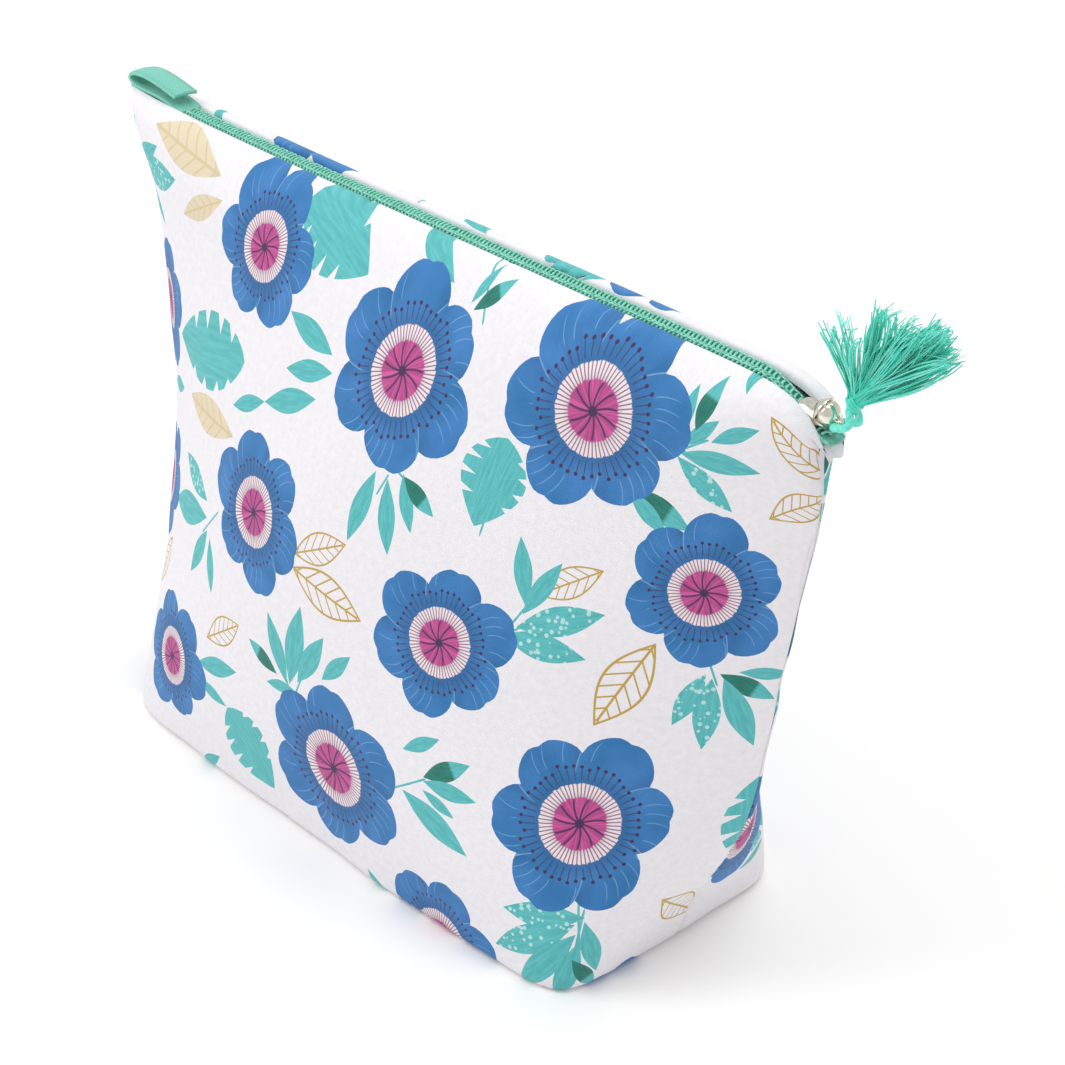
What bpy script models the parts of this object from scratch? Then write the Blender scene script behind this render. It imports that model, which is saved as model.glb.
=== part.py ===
"""A zipped makeup bag with a boxed base, as separate solids.

Metres. The origin is the middle of the underside, +X runs along the zip to its closed end, the front wall
faces -Y and +Z is up. The bag is modelled closed. Each wall is three nested layers of cloth, which tip
outwards on the long edges of the base, while the slider runs along the zip and carries the tassel.
"""

import math

import bmesh
import bpy
from mathutils import Matrix, Vector

# The bag's outer form
PANEL_WIDTH = 0.240  # one wall, measured round the outside from side seam to side seam
END_TUCK = 0.009  # what the rim adds to that where it turns square at the zip's ends
BASE_DEPTH = 0.082
HEIGHT = 0.157
RIM_HALF_DEPTH = 0.0045
RIM_SHIFT = -0.002  # the rim's middle, towards the zip's open end
BULGE = 0.0115  # how far a wall swells at half height
RIM_REACH = 0.118
CLOSED_END_DROP = 0.0105  # how far the rim falls at the zip's closed end
CLOSED_END_POWER = 18
OPEN_END_RISE = 0.0015
OPEN_END_POWER = 4

# Layers of cloth, as depths below the outer face
GAP = 0.0003
OUTER_DEPTHS = (0.0, 0.0009)
PADDING_DEPTHS = (0.0012, 0.0026)
LINING_DEPTHS = (0.0029, 0.0036)
SEAM_DEPTHS = (0.00145, 0.00245)
SEAM_HALF_WIDTH = 0.0006
HALF_SEAM_GAP = 0.00025
BASE_CLOTH = 0.0010
BASE_PADDING = 0.0014
BASE_LINING = 0.0007
BASE_INNER_INSET = 0.0055
CORNER_SEAM_WIDTH = 0.0035
CORNER_SEAM_LENGTH = 0.058

# Zip, with heights from the middle of the coil
COIL_BELOW_RIM = 0.0013
TAPE_EDGES = (0.0012, 0.0052)  # distances from the middle of the zip
TAPE_TOP = -0.0007
TAPE_THICKNESS = 0.0005
TAPE_ENDS = (-0.113, 0.111)
COIL_EDGES = (0.0002, 0.0022)
COIL_TOP = 0.0006
COIL_THICKNESS = 0.0012
THREAD_EDGES = (0.0015, 0.0019)
THREAD_THICKNESS = 0.0003
COIL_LEFT_END = -0.101
STOP_LENGTH = 0.0025
STRIP_STEP = 0.005

# Slider, where it rests at the closed end, in its own frame from the middle of the coil
SLIDER_X = 0.1106
SLIDER_Z = 0.1502
SLIDER_TILT = math.radians(20)
DIP_START = 0.092  # from here the zip leaves the rim and slopes down to the slider
TOP_PLATE_SIZE = (0.0082, 0.0054)
TOP_PLATE = (0.0011, 0.0020)
BOTTOM_PLATE_SIZE = (0.0062, 0.0046)
BOTTOM_PLATE = (-0.0023, -0.0015)
PLATE_CORNER = 0.0020
WEDGE_X = (0.0018, 0.0031)
WEDGE_HALF_WIDTH = 0.00075
BALL_RADIUS = 0.0029
BALL_MIDDLE = (0.0024, 0.0034)
EYE_MIDDLE = (0.0059, 0.0029)
EYE_OUTER_RADIUS = 0.0013
EYE_RADIUS = 0.00095
EYE_HALF_WIDTH = 0.0010

# Tassel
CORD_RADIUS = 0.00075
LOOP_HALF_WIDTH = 0.0022
LOOP_SAG = 0.0026
NECK = Vector((0.0028, 0.0, 0.0058))  # from the eye
TASSEL_LEAN = Vector((0.62, 0.35, 0.70)).normalized()
BINDING_LENGTH = 0.0040
BINDING_RADIUS = 0.0019
TASSEL_LENGTH = 0.0225
TASSEL_RADIUS = 0.0090

# Tail of the zip at its open end
TAB_X = (-0.1225, -0.1045)
TAB_HALF_WIDTH = 0.0036
TAB_THICKNESS = 0.0010
TAB_RISE = 0.0035

COLUMNS = 26  # facets round one wall
COLUMN_EASE = 0.45  # how much closer the facets stand at the side seams
LEVELS = (0.0085, 0.04, 0.10, 0.19, 0.30, 0.42, 0.54, 0.66, 0.77, 0.86, 0.922, 0.96, 0.985, 1.0)
PADDING_LEVELS = LEVELS[:-4]
LINING_LEVELS = LEVELS[:-3]

WHITE_COTTON = ("white_cotton", (0.84, 0.82, 0.84), 0.85, 0.0)
FLEECE = ("fleece", (0.80, 0.79, 0.76), 0.95, 0.0)
LINING_COTTON = ("lining_cotton", (0.16, 0.48, 0.47), 0.85, 0.0)
ZIP_TAPE = ("zip_tape", (0.17, 0.55, 0.43), 0.75, 0.0)
ZIP_COIL = ("zip_coil", (0.20, 0.60, 0.48), 0.45, 0.0)
THREAD = ("thread", (0.10, 0.42, 0.33), 0.60, 0.0)
POLISHED_METAL = ("polished_metal", (0.82, 0.80, 0.74), 0.12, 1.0)
TASSEL_YARN = ("tassel_yarn", (0.05, 0.55, 0.38), 0.55, 0.0)


def material(finish):
    """The Principled material of a finish, made once."""
    name, colour, roughness, metallic = finish
    made = bpy.data.materials.get(name) or bpy.data.materials.new(name)
    made.use_nodes = True
    shader = made.node_tree.nodes["Principled BSDF"]
    shader.inputs["Base Color"].default_value = (*colour, 1.0)
    shader.inputs["Roughness"].default_value = roughness
    shader.inputs["Metallic"].default_value = metallic
    return made


def add_object(name, mesh, finish, parent=None, smooth_angle=None):
    """An object with that mesh, shaded smooth below smooth_angle where one is given."""
    obj = bpy.data.objects.new(name, mesh)
    bpy.context.scene.collection.objects.link(obj)
    mesh.materials.append(material(finish))
    obj.parent = parent
    if smooth_angle is not None:
        mesh.shade_smooth()
        mesh.set_sharp_from_angle(angle=math.radians(smooth_angle))
    return obj


def closed_mesh(name, points, faces):
    """A mesh from points and faces, with its normals turned outwards."""
    bm = bmesh.new()
    corners = [bm.verts.new(point) for point in points]
    for face in faces:
        bm.faces.new([corners[i] for i in face])
    bmesh.ops.recalc_face_normals(bm, faces=bm.faces)
    mesh = bpy.data.meshes.new(name)
    bm.to_mesh(mesh)
    bm.free()
    return mesh


# The form of the bag


def half_depth(level):
    """Half the bag's depth at a share of its height."""
    swell = BULGE * math.sin(math.pi * level) ** 1.2
    return RIM_HALF_DEPTH + (BASE_DEPTH / 2 - RIM_HALF_DEPTH) * math.sqrt(1 - level) + swell


def squareness(level):
    """The section's exponents: a rounded rectangle at the base, a lens above it, and square at the rim."""
    at_rim = level**20
    along = 2.0 + 9.0 * (1 - level) ** 7 + 10.0 * at_rim
    across = 1.15 + 7.0 * (1 - level) ** 10.8 + 6.0 * at_rim
    return along, across


def unit_outline(level, count=400):
    """Points of the front half of the section, from -X to +X, in a box from -1 to 1."""
    along, across = squareness(level)
    points = []
    for i in range(count + 1):
        turn = math.pi * i / count
        cosine = math.cos(turn)
        x = -math.copysign(abs(cosine) ** (2 / along), cosine)
        y = -(max(0.0, 1 - cosine * cosine) ** (1 / across))
        points.append((x, y))
    return points


def running_lengths(points, half_length, depth):
    """The length along the outline up to each of its points."""
    lengths = [0.0]
    for (x0, y0), (x1, y1) in zip(points, points[1:]):
        lengths.append(lengths[-1] + math.hypot((x1 - x0) * half_length, (y1 - y0) * depth))
    return lengths


def section(level):
    """(half length, half depth, unit points at even steps from seam to seam) of the wall at that level."""
    outline, depth = unit_outline(level), half_depth(level)
    width = PANEL_WIDTH + END_TUCK * level**12
    short, long = BASE_DEPTH / 2, PANEL_WIDTH
    for _ in range(40):
        half_length = (short + long) / 2
        if running_lengths(outline, half_length, depth)[-1] > width:
            long = half_length
        else:
            short = half_length
    lengths = running_lengths(outline, half_length, depth)
    first = next(i for i, (_, y) in enumerate(outline) if -y * depth >= HALF_SEAM_GAP)
    share = (HALF_SEAM_GAP + outline[first - 1][1] * depth) / ((outline[first - 1][1] - outline[first][1]) * depth)
    start = lengths[first - 1] + share * (lengths[first] - lengths[first - 1])
    steps = [start + (width - 2 * start) * eased(i / COLUMNS) for i in range(COLUMNS + 1)]
    return half_length, depth, [point_at(outline, lengths, step) for step in steps]


def eased(share):
    """A share of the way along a wall, with its steps closer together at both ends."""
    return share - COLUMN_EASE * math.sin(2 * math.pi * share) / (2 * math.pi)


def point_at(outline, lengths, distance):
    """The outline's point at that distance along it."""
    last = len(lengths) - 1
    after = next((i for i in range(1, last) if lengths[i] >= distance), last)
    share = (distance - lengths[after - 1]) / (lengths[after] - lengths[after - 1])
    (x0, y0), (x1, y1) = outline[after - 1], outline[after]
    return x0 + share * (x1 - x0), y0 + share * (y1 - y0)


def rim_height(x):
    """The rim's height: level, a little up at the zip's open end, and falling sharply at its closed end."""
    reach = abs(x) / RIM_REACH
    if x > 0:
        return HEIGHT - CLOSED_END_DROP * reach**CLOSED_END_POWER
    return HEIGHT + OPEN_END_RISE * reach**OPEN_END_POWER


def zip_height(x):
    """The height of the coil's middle: just under the rim, and sloping down to the slider at its closed end."""
    under_rim = rim_height(x) - COIL_BELOW_RIM
    through_slider = SLIDER_Z - math.tan(SLIDER_TILT) * (x - SLIDER_X)
    dip_end = SLIDER_X - TOP_PLATE_SIZE[0] / 2
    share = min(1.0, max(0.0, (x - DIP_START) / (dip_end - DIP_START)))
    share = share * share * (3 - 2 * share)
    return under_rim + share * (through_slider - under_rim)


def end_depth(level, depth):
    """How far a layer moves in along X for its depth below the outer face: more where the section is pointed."""
    return depth * (1.0 + 1.5 * level)


def wall_point(level, half_length, half, unit, depth):
    """A point of the front wall, that far below its outer face."""
    x = (half_length - end_depth(level, depth)) * unit[0] + RIM_SHIFT * level**12
    y = (half - depth) * unit[1]
    z = level * HEIGHT + level**3 * (rim_height(x) - HEIGHT)
    return Vector((x, y, z))


def wall_layer(name, depths, levels, finish, side, skipped=0):
    """One cloth layer of a wall, between two depths. side is -1 for the front wall and 1 for the back one, and skipped columns are left off at each side seam."""
    rings = []
    for level in levels:
        half_length, half, units = section(level)
        units = units[skipped : len(units) - skipped]
        for depth in depths:
            rings.append([wall_point(level, half_length, half, unit, depth) for unit in units])
    wide, points = len(rings[0]), [point for ring in rings for point in ring]
    points = [Vector((p.x, -side * p.y, p.z)) for p in points]
    faces = []
    for row in range(len(levels) - 1):
        for layer in (0, 1):
            low, high = (2 * row + layer) * wide, (2 * row + 2 + layer) * wide
            for i in range(wide - 1):
                faces.append((low + i, low + i + 1, high + i + 1, high + i))
        for i in (0, wide - 1):
            corners = (2 * row * wide, (2 * row + 1) * wide, (2 * row + 3) * wide, (2 * row + 2) * wide)
            faces.append(tuple(corner + i for corner in corners))
    for start in (0, 2 * (len(levels) - 1) * wide):
        for i in range(wide - 1):
            faces.append((start + i, start + i + 1, start + wide + i + 1, start + wide + i))
    return add_object(name, closed_mesh(name, points, faces), finish, smooth_angle=40)


# Solids that several pieces share


def slab(name, outline, low, high, finish, parent=None):
    """A flat solid with that outline in XY."""
    count = len(outline)
    points = [(x, y, z) for z in (low, high) for x, y in outline]
    faces = [tuple(range(count)), tuple(range(count, 2 * count))]
    faces += [(i, (i + 1) % count, count + (i + 1) % count, count + i) for i in range(count)]
    return add_object(name, closed_mesh(name, points, faces), finish, parent)


def rounded_rectangle(half_x, half_y, radius, per_corner=4):
    """The outline of a rectangle with round corners."""
    outline = []
    for corner, (sx, sy) in enumerate(((1, 1), (-1, 1), (-1, -1), (1, -1))):
        for i in range(per_corner + 1):
            turn = math.pi / 2 * (corner + i / per_corner)
            x = sx * (half_x - radius) + radius * math.cos(turn)
            y = sy * (half_y - radius) + radius * math.sin(turn)
            outline.append((x, y))
    return outline


def strip(name, x_range, edges, top, thickness, finish, side):
    """A band along the zip. edges are distances from the middle of the zip, and top is from the coil's middle."""
    count = max(1, round((x_range[1] - x_range[0]) / STRIP_STEP))
    points, faces = [], []
    for i in range(count + 1):
        x = x_range[0] + (x_range[1] - x_range[0]) * i / count
        high = zip_height(x) + top
        for edge, z in ((edges[0], high), (edges[1], high), (edges[1], high - thickness), (edges[0], high - thickness)):
            points.append((x, side * edge, z))
    for i in range(count):
        for k in range(4):
            here, after = 4 * i + k, 4 * i + (k + 1) % 4
            faces.append((here, after, after + 4, here + 4))
    faces += [(0, 1, 2, 3), tuple(4 * count + k for k in range(4))]
    return add_object(name, closed_mesh(name, points, faces), finish)


def union(obj, other):
    """Joins other to obj with a Boolean, and leaves it out of the render."""
    add_boolean(obj, other, "UNION")


def cut(obj, other):
    add_boolean(obj, other, "DIFFERENCE")


def add_boolean(obj, other, operation):
    modifier = obj.modifiers.new(other.name, "BOOLEAN")
    modifier.operation = operation
    modifier.object = other
    other.hide_render = True
    other.display_type = "WIRE"


def tube(name, points, radius, finish, parent, cyclic=False):
    """A cord along points, with filled ends unless it is a ring."""
    curve = bpy.data.curves.new(name, "CURVE")
    curve.dimensions = "3D"
    curve.bevel_depth = radius
    curve.bevel_resolution = 2
    curve.use_fill_caps = not cyclic
    spline = curve.splines.new("POLY")
    spline.points.add(len(points) - 1)
    for place, point in zip(spline.points, points):
        place.co = (*point, 1.0)
    spline.use_cyclic_u = cyclic
    curve.materials.append(material(finish))
    obj = bpy.data.objects.new(name, curve)
    bpy.context.scene.collection.objects.link(obj)
    obj.parent = parent
    return obj


def turned(name, profile, finish, parent, sides=20):
    """A solid turned about its own Z, from (radius, height) points that start and end on the axis."""
    points, rings = [], []
    for radius, height in profile:
        count = 1 if radius == 0 else sides
        rings.append(list(range(len(points), len(points) + count)))
        for i in range(count):
            turn = 2 * math.pi * i / sides
            points.append((radius * math.cos(turn), radius * math.sin(turn), height))
    faces = []
    for low, high in zip(rings, rings[1:]):
        for i in range(sides):
            j = (i + 1) % sides
            corners = [low[i % len(low)], low[j % len(low)], high[j % len(high)], high[i % len(high)]]
            faces.append(tuple(dict.fromkeys(corners)))
    return add_object(name, closed_mesh(name, points, faces), finish, parent, smooth_angle=50)


# The bag


def base_outline(inset, inset_x=None):
    """The bag's footprint, that far inside the base's edge."""
    half_length, half, units = section(0.0)
    half_length -= inset if inset_x is None else inset_x
    front = [(half_length * x, (half - inset) * y) for x, y in units]
    return front + [(x, -y) for x, y in reversed(front)]


def make_base():
    """The three layers under the walls' edges, and the two seams that box the corners."""
    padding_low = BASE_CLOTH + GAP
    padding_high = padding_low + BASE_PADDING
    lining_low = padding_high + GAP
    slab("base_outer", base_outline(0.0), 0.0, BASE_CLOTH, WHITE_COTTON)
    padding_inset_x = BASE_INNER_INSET + CORNER_SEAM_WIDTH + GAP
    padding = base_outline(BASE_INNER_INSET, padding_inset_x)
    slab("base_padding", padding, padding_low, padding_high, FLEECE)
    slab("base_lining", base_outline(BASE_INNER_INSET), lining_low, lining_low + BASE_LINING, LINING_COTTON)
    edge = section(0.0)[0] - BASE_INNER_INSET
    for name, side in (("corner_seam_left", -1), ("corner_seam_right", 1)):
        middle = side * (edge - CORNER_SEAM_WIDTH / 2)
        outline = rounded_rectangle(CORNER_SEAM_WIDTH / 2, CORNER_SEAM_LENGTH / 2, CORNER_SEAM_WIDTH / 4)
        outline = [(middle + x, y) for x, y in outline]
        slab(name, outline, padding_low, padding_high, WHITE_COTTON)


def make_side_seam(name, side):
    """The turned-in edges of both walls where they are sewn together, between the cloth and the lining."""
    points = []
    for level in LEVELS[3:-4]:
        half_length, _, _ = section(level)
        z = level * HEIGHT
        for depth, y in ((0, -1), (0, 1), (1, 1), (1, -1)):
            x = half_length - end_depth(level, SEAM_DEPTHS[depth])
            points.append((side * x, y * SEAM_HALF_WIDTH, z))
    faces = [(0, 1, 2, 3), tuple(len(points) - 4 + k for k in range(4))]
    for i in range(0, len(points) - 4, 4):
        for k in range(4):
            faces.append((i + k, i + (k + 1) % 4, i + (k + 1) % 4 + 4, i + k + 4))
    add_object(name, closed_mesh(name, points, faces), WHITE_COTTON)


def make_wall(where, side):
    """One wall's cloth and its half of the zip."""
    wall_layer(f"outer_{where}", OUTER_DEPTHS, LEVELS, WHITE_COTTON, side)
    wall_layer(f"padding_{where}", PADDING_DEPTHS, PADDING_LEVELS, FLEECE, side, skipped=1)
    wall_layer(f"lining_{where}", LINING_DEPTHS, LINING_LEVELS, LINING_COTTON, side)
    coil_ends = (COIL_LEFT_END, SLIDER_X + WEDGE_X[0] - 2 * GAP)
    thread_top = COIL_TOP + GAP + THREAD_THICKNESS
    thread_ends = (COIL_LEFT_END, SLIDER_X - TOP_PLATE_SIZE[0] / 2 - 2 * GAP)
    strip(f"zip_tape_{where}", TAPE_ENDS, TAPE_EDGES, TAPE_TOP, TAPE_THICKNESS, ZIP_TAPE, side)
    strip(f"zip_coil_{where}", coil_ends, COIL_EDGES, COIL_TOP, COIL_THICKNESS, ZIP_COIL, side)
    strip(f"coil_stitching_{where}", thread_ends, THREAD_EDGES, thread_top, THREAD_THICKNESS, THREAD, side)


def make_open_end():
    """The folded tail of the zip over the open end's corner, and the stop that ends the slider's way."""
    count = 10
    points, faces = [], []
    for i in range(count + 1):
        share = i / count
        x = TAB_X[0] + (TAB_X[1] - TAB_X[0]) * share
        low = rim_height(x) + GAP + TAB_RISE * math.sqrt(max(0.0, 1 - share * share))
        for y, z in ((-1, low), (1, low), (1, low + TAB_THICKNESS), (-1, low + TAB_THICKNESS)):
            points.append((x, y * TAB_HALF_WIDTH, z))
    for i in range(count):
        for k in range(4):
            here, after = 4 * i + k, 4 * i + (k + 1) % 4
            faces.append((here, after, after + 4, here + 4))
    faces += [(0, 1, 2, 3), tuple(4 * count + k for k in range(4))]
    add_object("zip_end_tab", closed_mesh("zip_end_tab", points, faces), ZIP_TAPE)
    stop_ends = (COIL_LEFT_END - GAP - STOP_LENGTH, COIL_LEFT_END - GAP)
    across = (-COIL_EDGES[1], COIL_EDGES[1])
    strip("bottom_stop", stop_ends, across, COIL_TOP, COIL_THICKNESS, POLISHED_METAL, 1)


# The slider and its tassel


def slider_seat():
    """An empty at the middle of the coil under the slider, tilted with the zip there."""
    seat = bpy.data.objects.new("slider_seat", None)
    bpy.context.scene.collection.objects.link(seat)
    seat.matrix_world = Matrix.Translation((SLIDER_X, 0, SLIDER_Z)) @ Matrix.Rotation(SLIDER_TILT, 4, "Y")
    return seat


def plate_outline(size):
    return rounded_rectangle(size[0] / 2, size[1] / 2, PLATE_CORNER)


def upright_ring_part(name, radius, half_width, finish, seat):
    """A short cylinder across the slider at its eye."""
    sides = 20
    points = []
    for y in (-half_width, half_width):
        for i in range(sides):
            turn = 2 * math.pi * i / sides
            points.append((EYE_MIDDLE[0] + radius * math.cos(turn), y, EYE_MIDDLE[1] + radius * math.sin(turn)))
    faces = [tuple(range(sides)), tuple(range(sides, 2 * sides))]
    faces += [(i, (i + 1) % sides, sides + (i + 1) % sides, sides + i) for i in range(sides)]
    return add_object(name, closed_mesh(name, points, faces), finish, seat)


def make_slider(seat):
    """Two plates joined by the wedge that parts the coils, and a ball on them with an eye for the cord."""
    body = slab("slider_body", plate_outline(TOP_PLATE_SIZE), *TOP_PLATE, POLISHED_METAL, seat)
    lower = slab("slider_lower_plate", plate_outline(BOTTOM_PLATE_SIZE), *BOTTOM_PLATE, POLISHED_METAL, seat)
    middle, half = sum(WEDGE_X) / 2, (WEDGE_X[1] - WEDGE_X[0]) / 2
    neck = [(middle + x, y) for x, y in rounded_rectangle(half, WEDGE_HALF_WIDTH, WEDGE_HALF_WIDTH / 2)]
    overlap = (TOP_PLATE[1] - TOP_PLATE[0]) / 2
    wedge = slab("slider_wedge", neck, BOTTOM_PLATE[1] - overlap, TOP_PLATE[0] + overlap, POLISHED_METAL, seat)
    union(body, wedge)
    union(body, lower)
    foot = TOP_PLATE[1] + GAP
    lowest = math.asin((foot - BALL_MIDDLE[1]) / BALL_RADIUS)
    rings = 9
    profile = [(0, foot)]
    for i in range(rings):
        turn = lowest + (math.pi / 2 - lowest) * i / rings
        profile.append((BALL_RADIUS * math.cos(turn), BALL_MIDDLE[1] + BALL_RADIUS * math.sin(turn)))
    profile.append((0, BALL_MIDDLE[1] + BALL_RADIUS))
    crown = turned("slider_ball", profile, POLISHED_METAL, seat, sides=24)
    crown.location.x = BALL_MIDDLE[0]
    ring = upright_ring_part("eye_ring", EYE_OUTER_RADIUS, EYE_HALF_WIDTH, POLISHED_METAL, seat)
    bore = upright_ring_part("eye_bore", EYE_RADIUS, 4 * EYE_HALF_WIDTH, POLISHED_METAL, seat)
    union(crown, ring)
    cut(crown, bore)


def loop_point(turn):
    """A point of the cord's loop: straight through the eye at turn 0, and out to the neck at half a turn."""
    out = ((1 - math.cos(turn)) / 2) ** 2
    width = LOOP_HALF_WIDTH * math.sin(turn) * (1.0 - 0.2 * out)
    sag = LOOP_SAG * math.sin(math.pi * out) ** 1.5
    aside = Vector((NECK.z, 0.0, -NECK.x)).normalized()
    return NECK * out + aside * sag + Vector((0.0, width, 0.0))


def make_tassel(seat):
    """The cord loop through the slider's eye, the binding at its neck and the skirt of threads."""
    eye = seat.matrix_world @ Vector((EYE_MIDDLE[0], 0, EYE_MIDDLE[1]))
    pull = bpy.data.objects.new("pull_pivot", None)
    bpy.context.scene.collection.objects.link(pull)
    pull.location = eye
    count = 28
    points = [loop_point(2 * math.pi * i / count) for i in range(count)]
    tube("tassel_loop", points, CORD_RADIUS, TASSEL_YARN, pull, cyclic=True)
    neck = bpy.data.objects.new("neck_pivot", None)
    bpy.context.scene.collection.objects.link(neck)
    neck.parent = pull
    neck.location = NECK
    neck.rotation_mode = "QUATERNION"
    neck.rotation_quaternion = TASSEL_LEAN.to_track_quat("Z", "Y")
    low = CORD_RADIUS + GAP
    high = low + BINDING_LENGTH
    binding = [(0, low), (BINDING_RADIUS, low), (BINDING_RADIUS, high), (0, high)]
    turned("tassel_binding", binding, TASSEL_YARN, neck, sides=16)
    start = high + GAP
    skirt = [(0, start), (BINDING_RADIUS * 0.9, start)]
    steps = 6
    for i in range(1, steps + 1):
        share = i / steps
        skirt.append((BINDING_RADIUS + (TASSEL_RADIUS - BINDING_RADIUS) * share**0.8, start + TASSEL_LENGTH * share * 0.9))
    skirt.append((TASSEL_RADIUS * 0.6, start + TASSEL_LENGTH * 0.98))
    skirt.append((0, start + TASSEL_LENGTH))
    turned("tassel_threads", skirt, TASSEL_YARN, neck, sides=16)


def main():
    for obj in list(bpy.data.objects):
        bpy.data.objects.remove(obj)
    make_base()
    make_side_seam("side_seam_left", -1)
    make_side_seam("side_seam_right", 1)
    make_wall("front", -1)
    make_wall("back", 1)
    make_open_end()
    seat = slider_seat()
    bpy.context.view_layer.update()
    make_slider(seat)
    make_tassel(seat)


main()
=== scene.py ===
"""Looks for the zipped makeup bag: printed walls, lining, zip, slider and tassel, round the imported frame.

Lengths are in metres. The bag's form repeats part.py's, so that the cloth lies where the CAD walls are.
Print positions are millimetres on the flat cloth: across from the wall's middle, and up from its lower edge.
"""

import math
import random

import bmesh
import bpy
import numpy as np
from mathutils import Matrix, Vector, noise
from mathutils.geometry import delaunay_2d_cdt

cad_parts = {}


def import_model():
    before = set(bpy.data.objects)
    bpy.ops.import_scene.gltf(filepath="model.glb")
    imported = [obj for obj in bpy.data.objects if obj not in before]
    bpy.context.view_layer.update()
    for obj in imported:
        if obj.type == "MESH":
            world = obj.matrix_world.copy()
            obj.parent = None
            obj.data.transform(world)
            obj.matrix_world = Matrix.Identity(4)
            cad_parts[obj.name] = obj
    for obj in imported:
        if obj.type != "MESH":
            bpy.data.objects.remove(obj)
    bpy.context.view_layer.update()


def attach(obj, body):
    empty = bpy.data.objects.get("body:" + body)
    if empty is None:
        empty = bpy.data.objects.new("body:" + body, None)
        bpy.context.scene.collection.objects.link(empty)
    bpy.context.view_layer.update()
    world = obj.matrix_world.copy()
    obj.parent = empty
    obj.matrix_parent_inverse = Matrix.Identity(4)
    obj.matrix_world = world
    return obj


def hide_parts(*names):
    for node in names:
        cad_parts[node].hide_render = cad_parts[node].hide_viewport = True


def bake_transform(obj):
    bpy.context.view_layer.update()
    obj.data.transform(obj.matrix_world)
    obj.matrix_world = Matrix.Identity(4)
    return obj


MM = 0.001
HANDS = ((-1, "left"), (1, "right"))

# The bag's form, as in part.py
PANEL_WIDTH = 0.240
END_TUCK = 0.009
BASE_DEPTH = 0.082
HEIGHT = 0.157
RIM_HALF_DEPTH = 0.0045
RIM_SHIFT = -0.002
BULGE = 0.0115
RIM_REACH = 0.118
CLOSED_END_DROP = 0.0105
CLOSED_END_POWER = 18
OPEN_END_RISE = 0.0015
OPEN_END_POWER = 4
HALF_PANEL = PANEL_WIDTH / MM / 2  # the wall's side seams, in millimetres across the flat cloth
RIM_UP = HEIGHT / MM  # the rim, in millimetres up the flat cloth
COIL_BELOW_RIM = 0.0013
SLIDER_X = 0.1106
SLIDER_Z = 0.1502
SLIDER_TILT = math.radians(20)
SLIDER_HALF_LENGTH = 0.0041
DIP_START = 0.092
BALL_RADIUS = 0.0029
BALL_MIDDLE = (0.0024, 0.0034)
EYE_MIDDLE = (0.0059, 0.0029)
NECK = Vector((0.0028, 0.0, 0.0058))
LOOP_HALF_WIDTH = 0.0022
LOOP_SAG = 0.0026
TASSEL_LEAN = Vector((0.62, 0.35, 0.70)).normalized()
# Along X, by hand: -1 at the open end, 1 at the closed end
COIL_ENDS = {-1: -0.101, 1: 0.1155}
TAPE_ENDS = {-1: -0.1175, 1: 0.1174}
STITCH_ENDS = {-1: -0.101, 1: SLIDER_X - SLIDER_HALF_LENGTH - 0.0004}
# (from the zip's middle, above the coil's middle) of the two rows of stitches
COIL_STITCHES = (0.00165, 0.00062)
TAPE_STITCHES = (0.0027, -0.0004)
# (first and last swing from the lean, locks, threads in each, spread, shortest, longest, looseness)
THREAD_LOCKS = (
    (-0.20, 0.24, 26, 18, 0.035, 0.0215, 0.0255, 0.02),
    (0.20, 0.66, 9, 12, 0.06, 0.0180, 0.0240, 0.14),
    (0.66, 1.45, 9, 6, 0.12, 0.0130, 0.0195, 0.28),
)

# The middle line of the zip's folded tail: (along X, above the rim's lower edge)
TAIL_PATH = (
    (-0.1010, -0.0006), (-0.1050, 0.0004), (-0.1100, 0.0012), (-0.1155, 0.0014),
    (-0.1200, 0.0016), (-0.1222, 0.0026), (-0.1226, 0.0035), (-0.1214, 0.0046),
    (-0.1180, 0.0051), (-0.1140, 0.0050), (-0.1095, 0.0044), (-0.1050, 0.0035),
    (-0.1030, 0.0031),
)
# The slider's plates: (half length, half width, corner, low, high, bevel, place)
PLATES = (
    (0.0041, 0.0027, 0.0019, 0.0011, 0.0020, 0.0003, (0, 0, 0)),
    (0.0031, 0.0023, 0.0016, -0.0023, -0.0015, 0.0003, (0, 0, 0)),
    (0.00065, 0.00075, 0.0005, -0.0017, 0.0013, 0.0001, (0.00245, 0, 0)),
    (0.0026, 0.0003, 0.00025, 0.0005, 0.0013, 0.0001, (-0.0002, -0.00238, 0)),
    (0.0026, 0.0003, 0.00025, 0.0005, 0.0013, 0.0001, (-0.0002, 0.00238, 0)),
)
EYE_STALK = (0.0007, 0.0008, 0.0005, 0.0, 0.0008, 0.0001, (0.0047, 0, 0.0027))
EYE_RING = (0.0013, 0.00095, 0.00095)  # outer and inner radius, half width
# The crown's cup and collar under the ball: (radius, height), as shares of the ball's radius
COLLAR = (
    (0.0, -1.0), (0.50, -0.94), (0.82, -0.70), (1.03, -0.46), (1.10, -0.34),
    (1.09, -0.27), (0.98, -0.25), (0.80, -0.24), (0.80, -0.13), (0.97, -0.12),
)
TASSEL_SEED = 4

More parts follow.
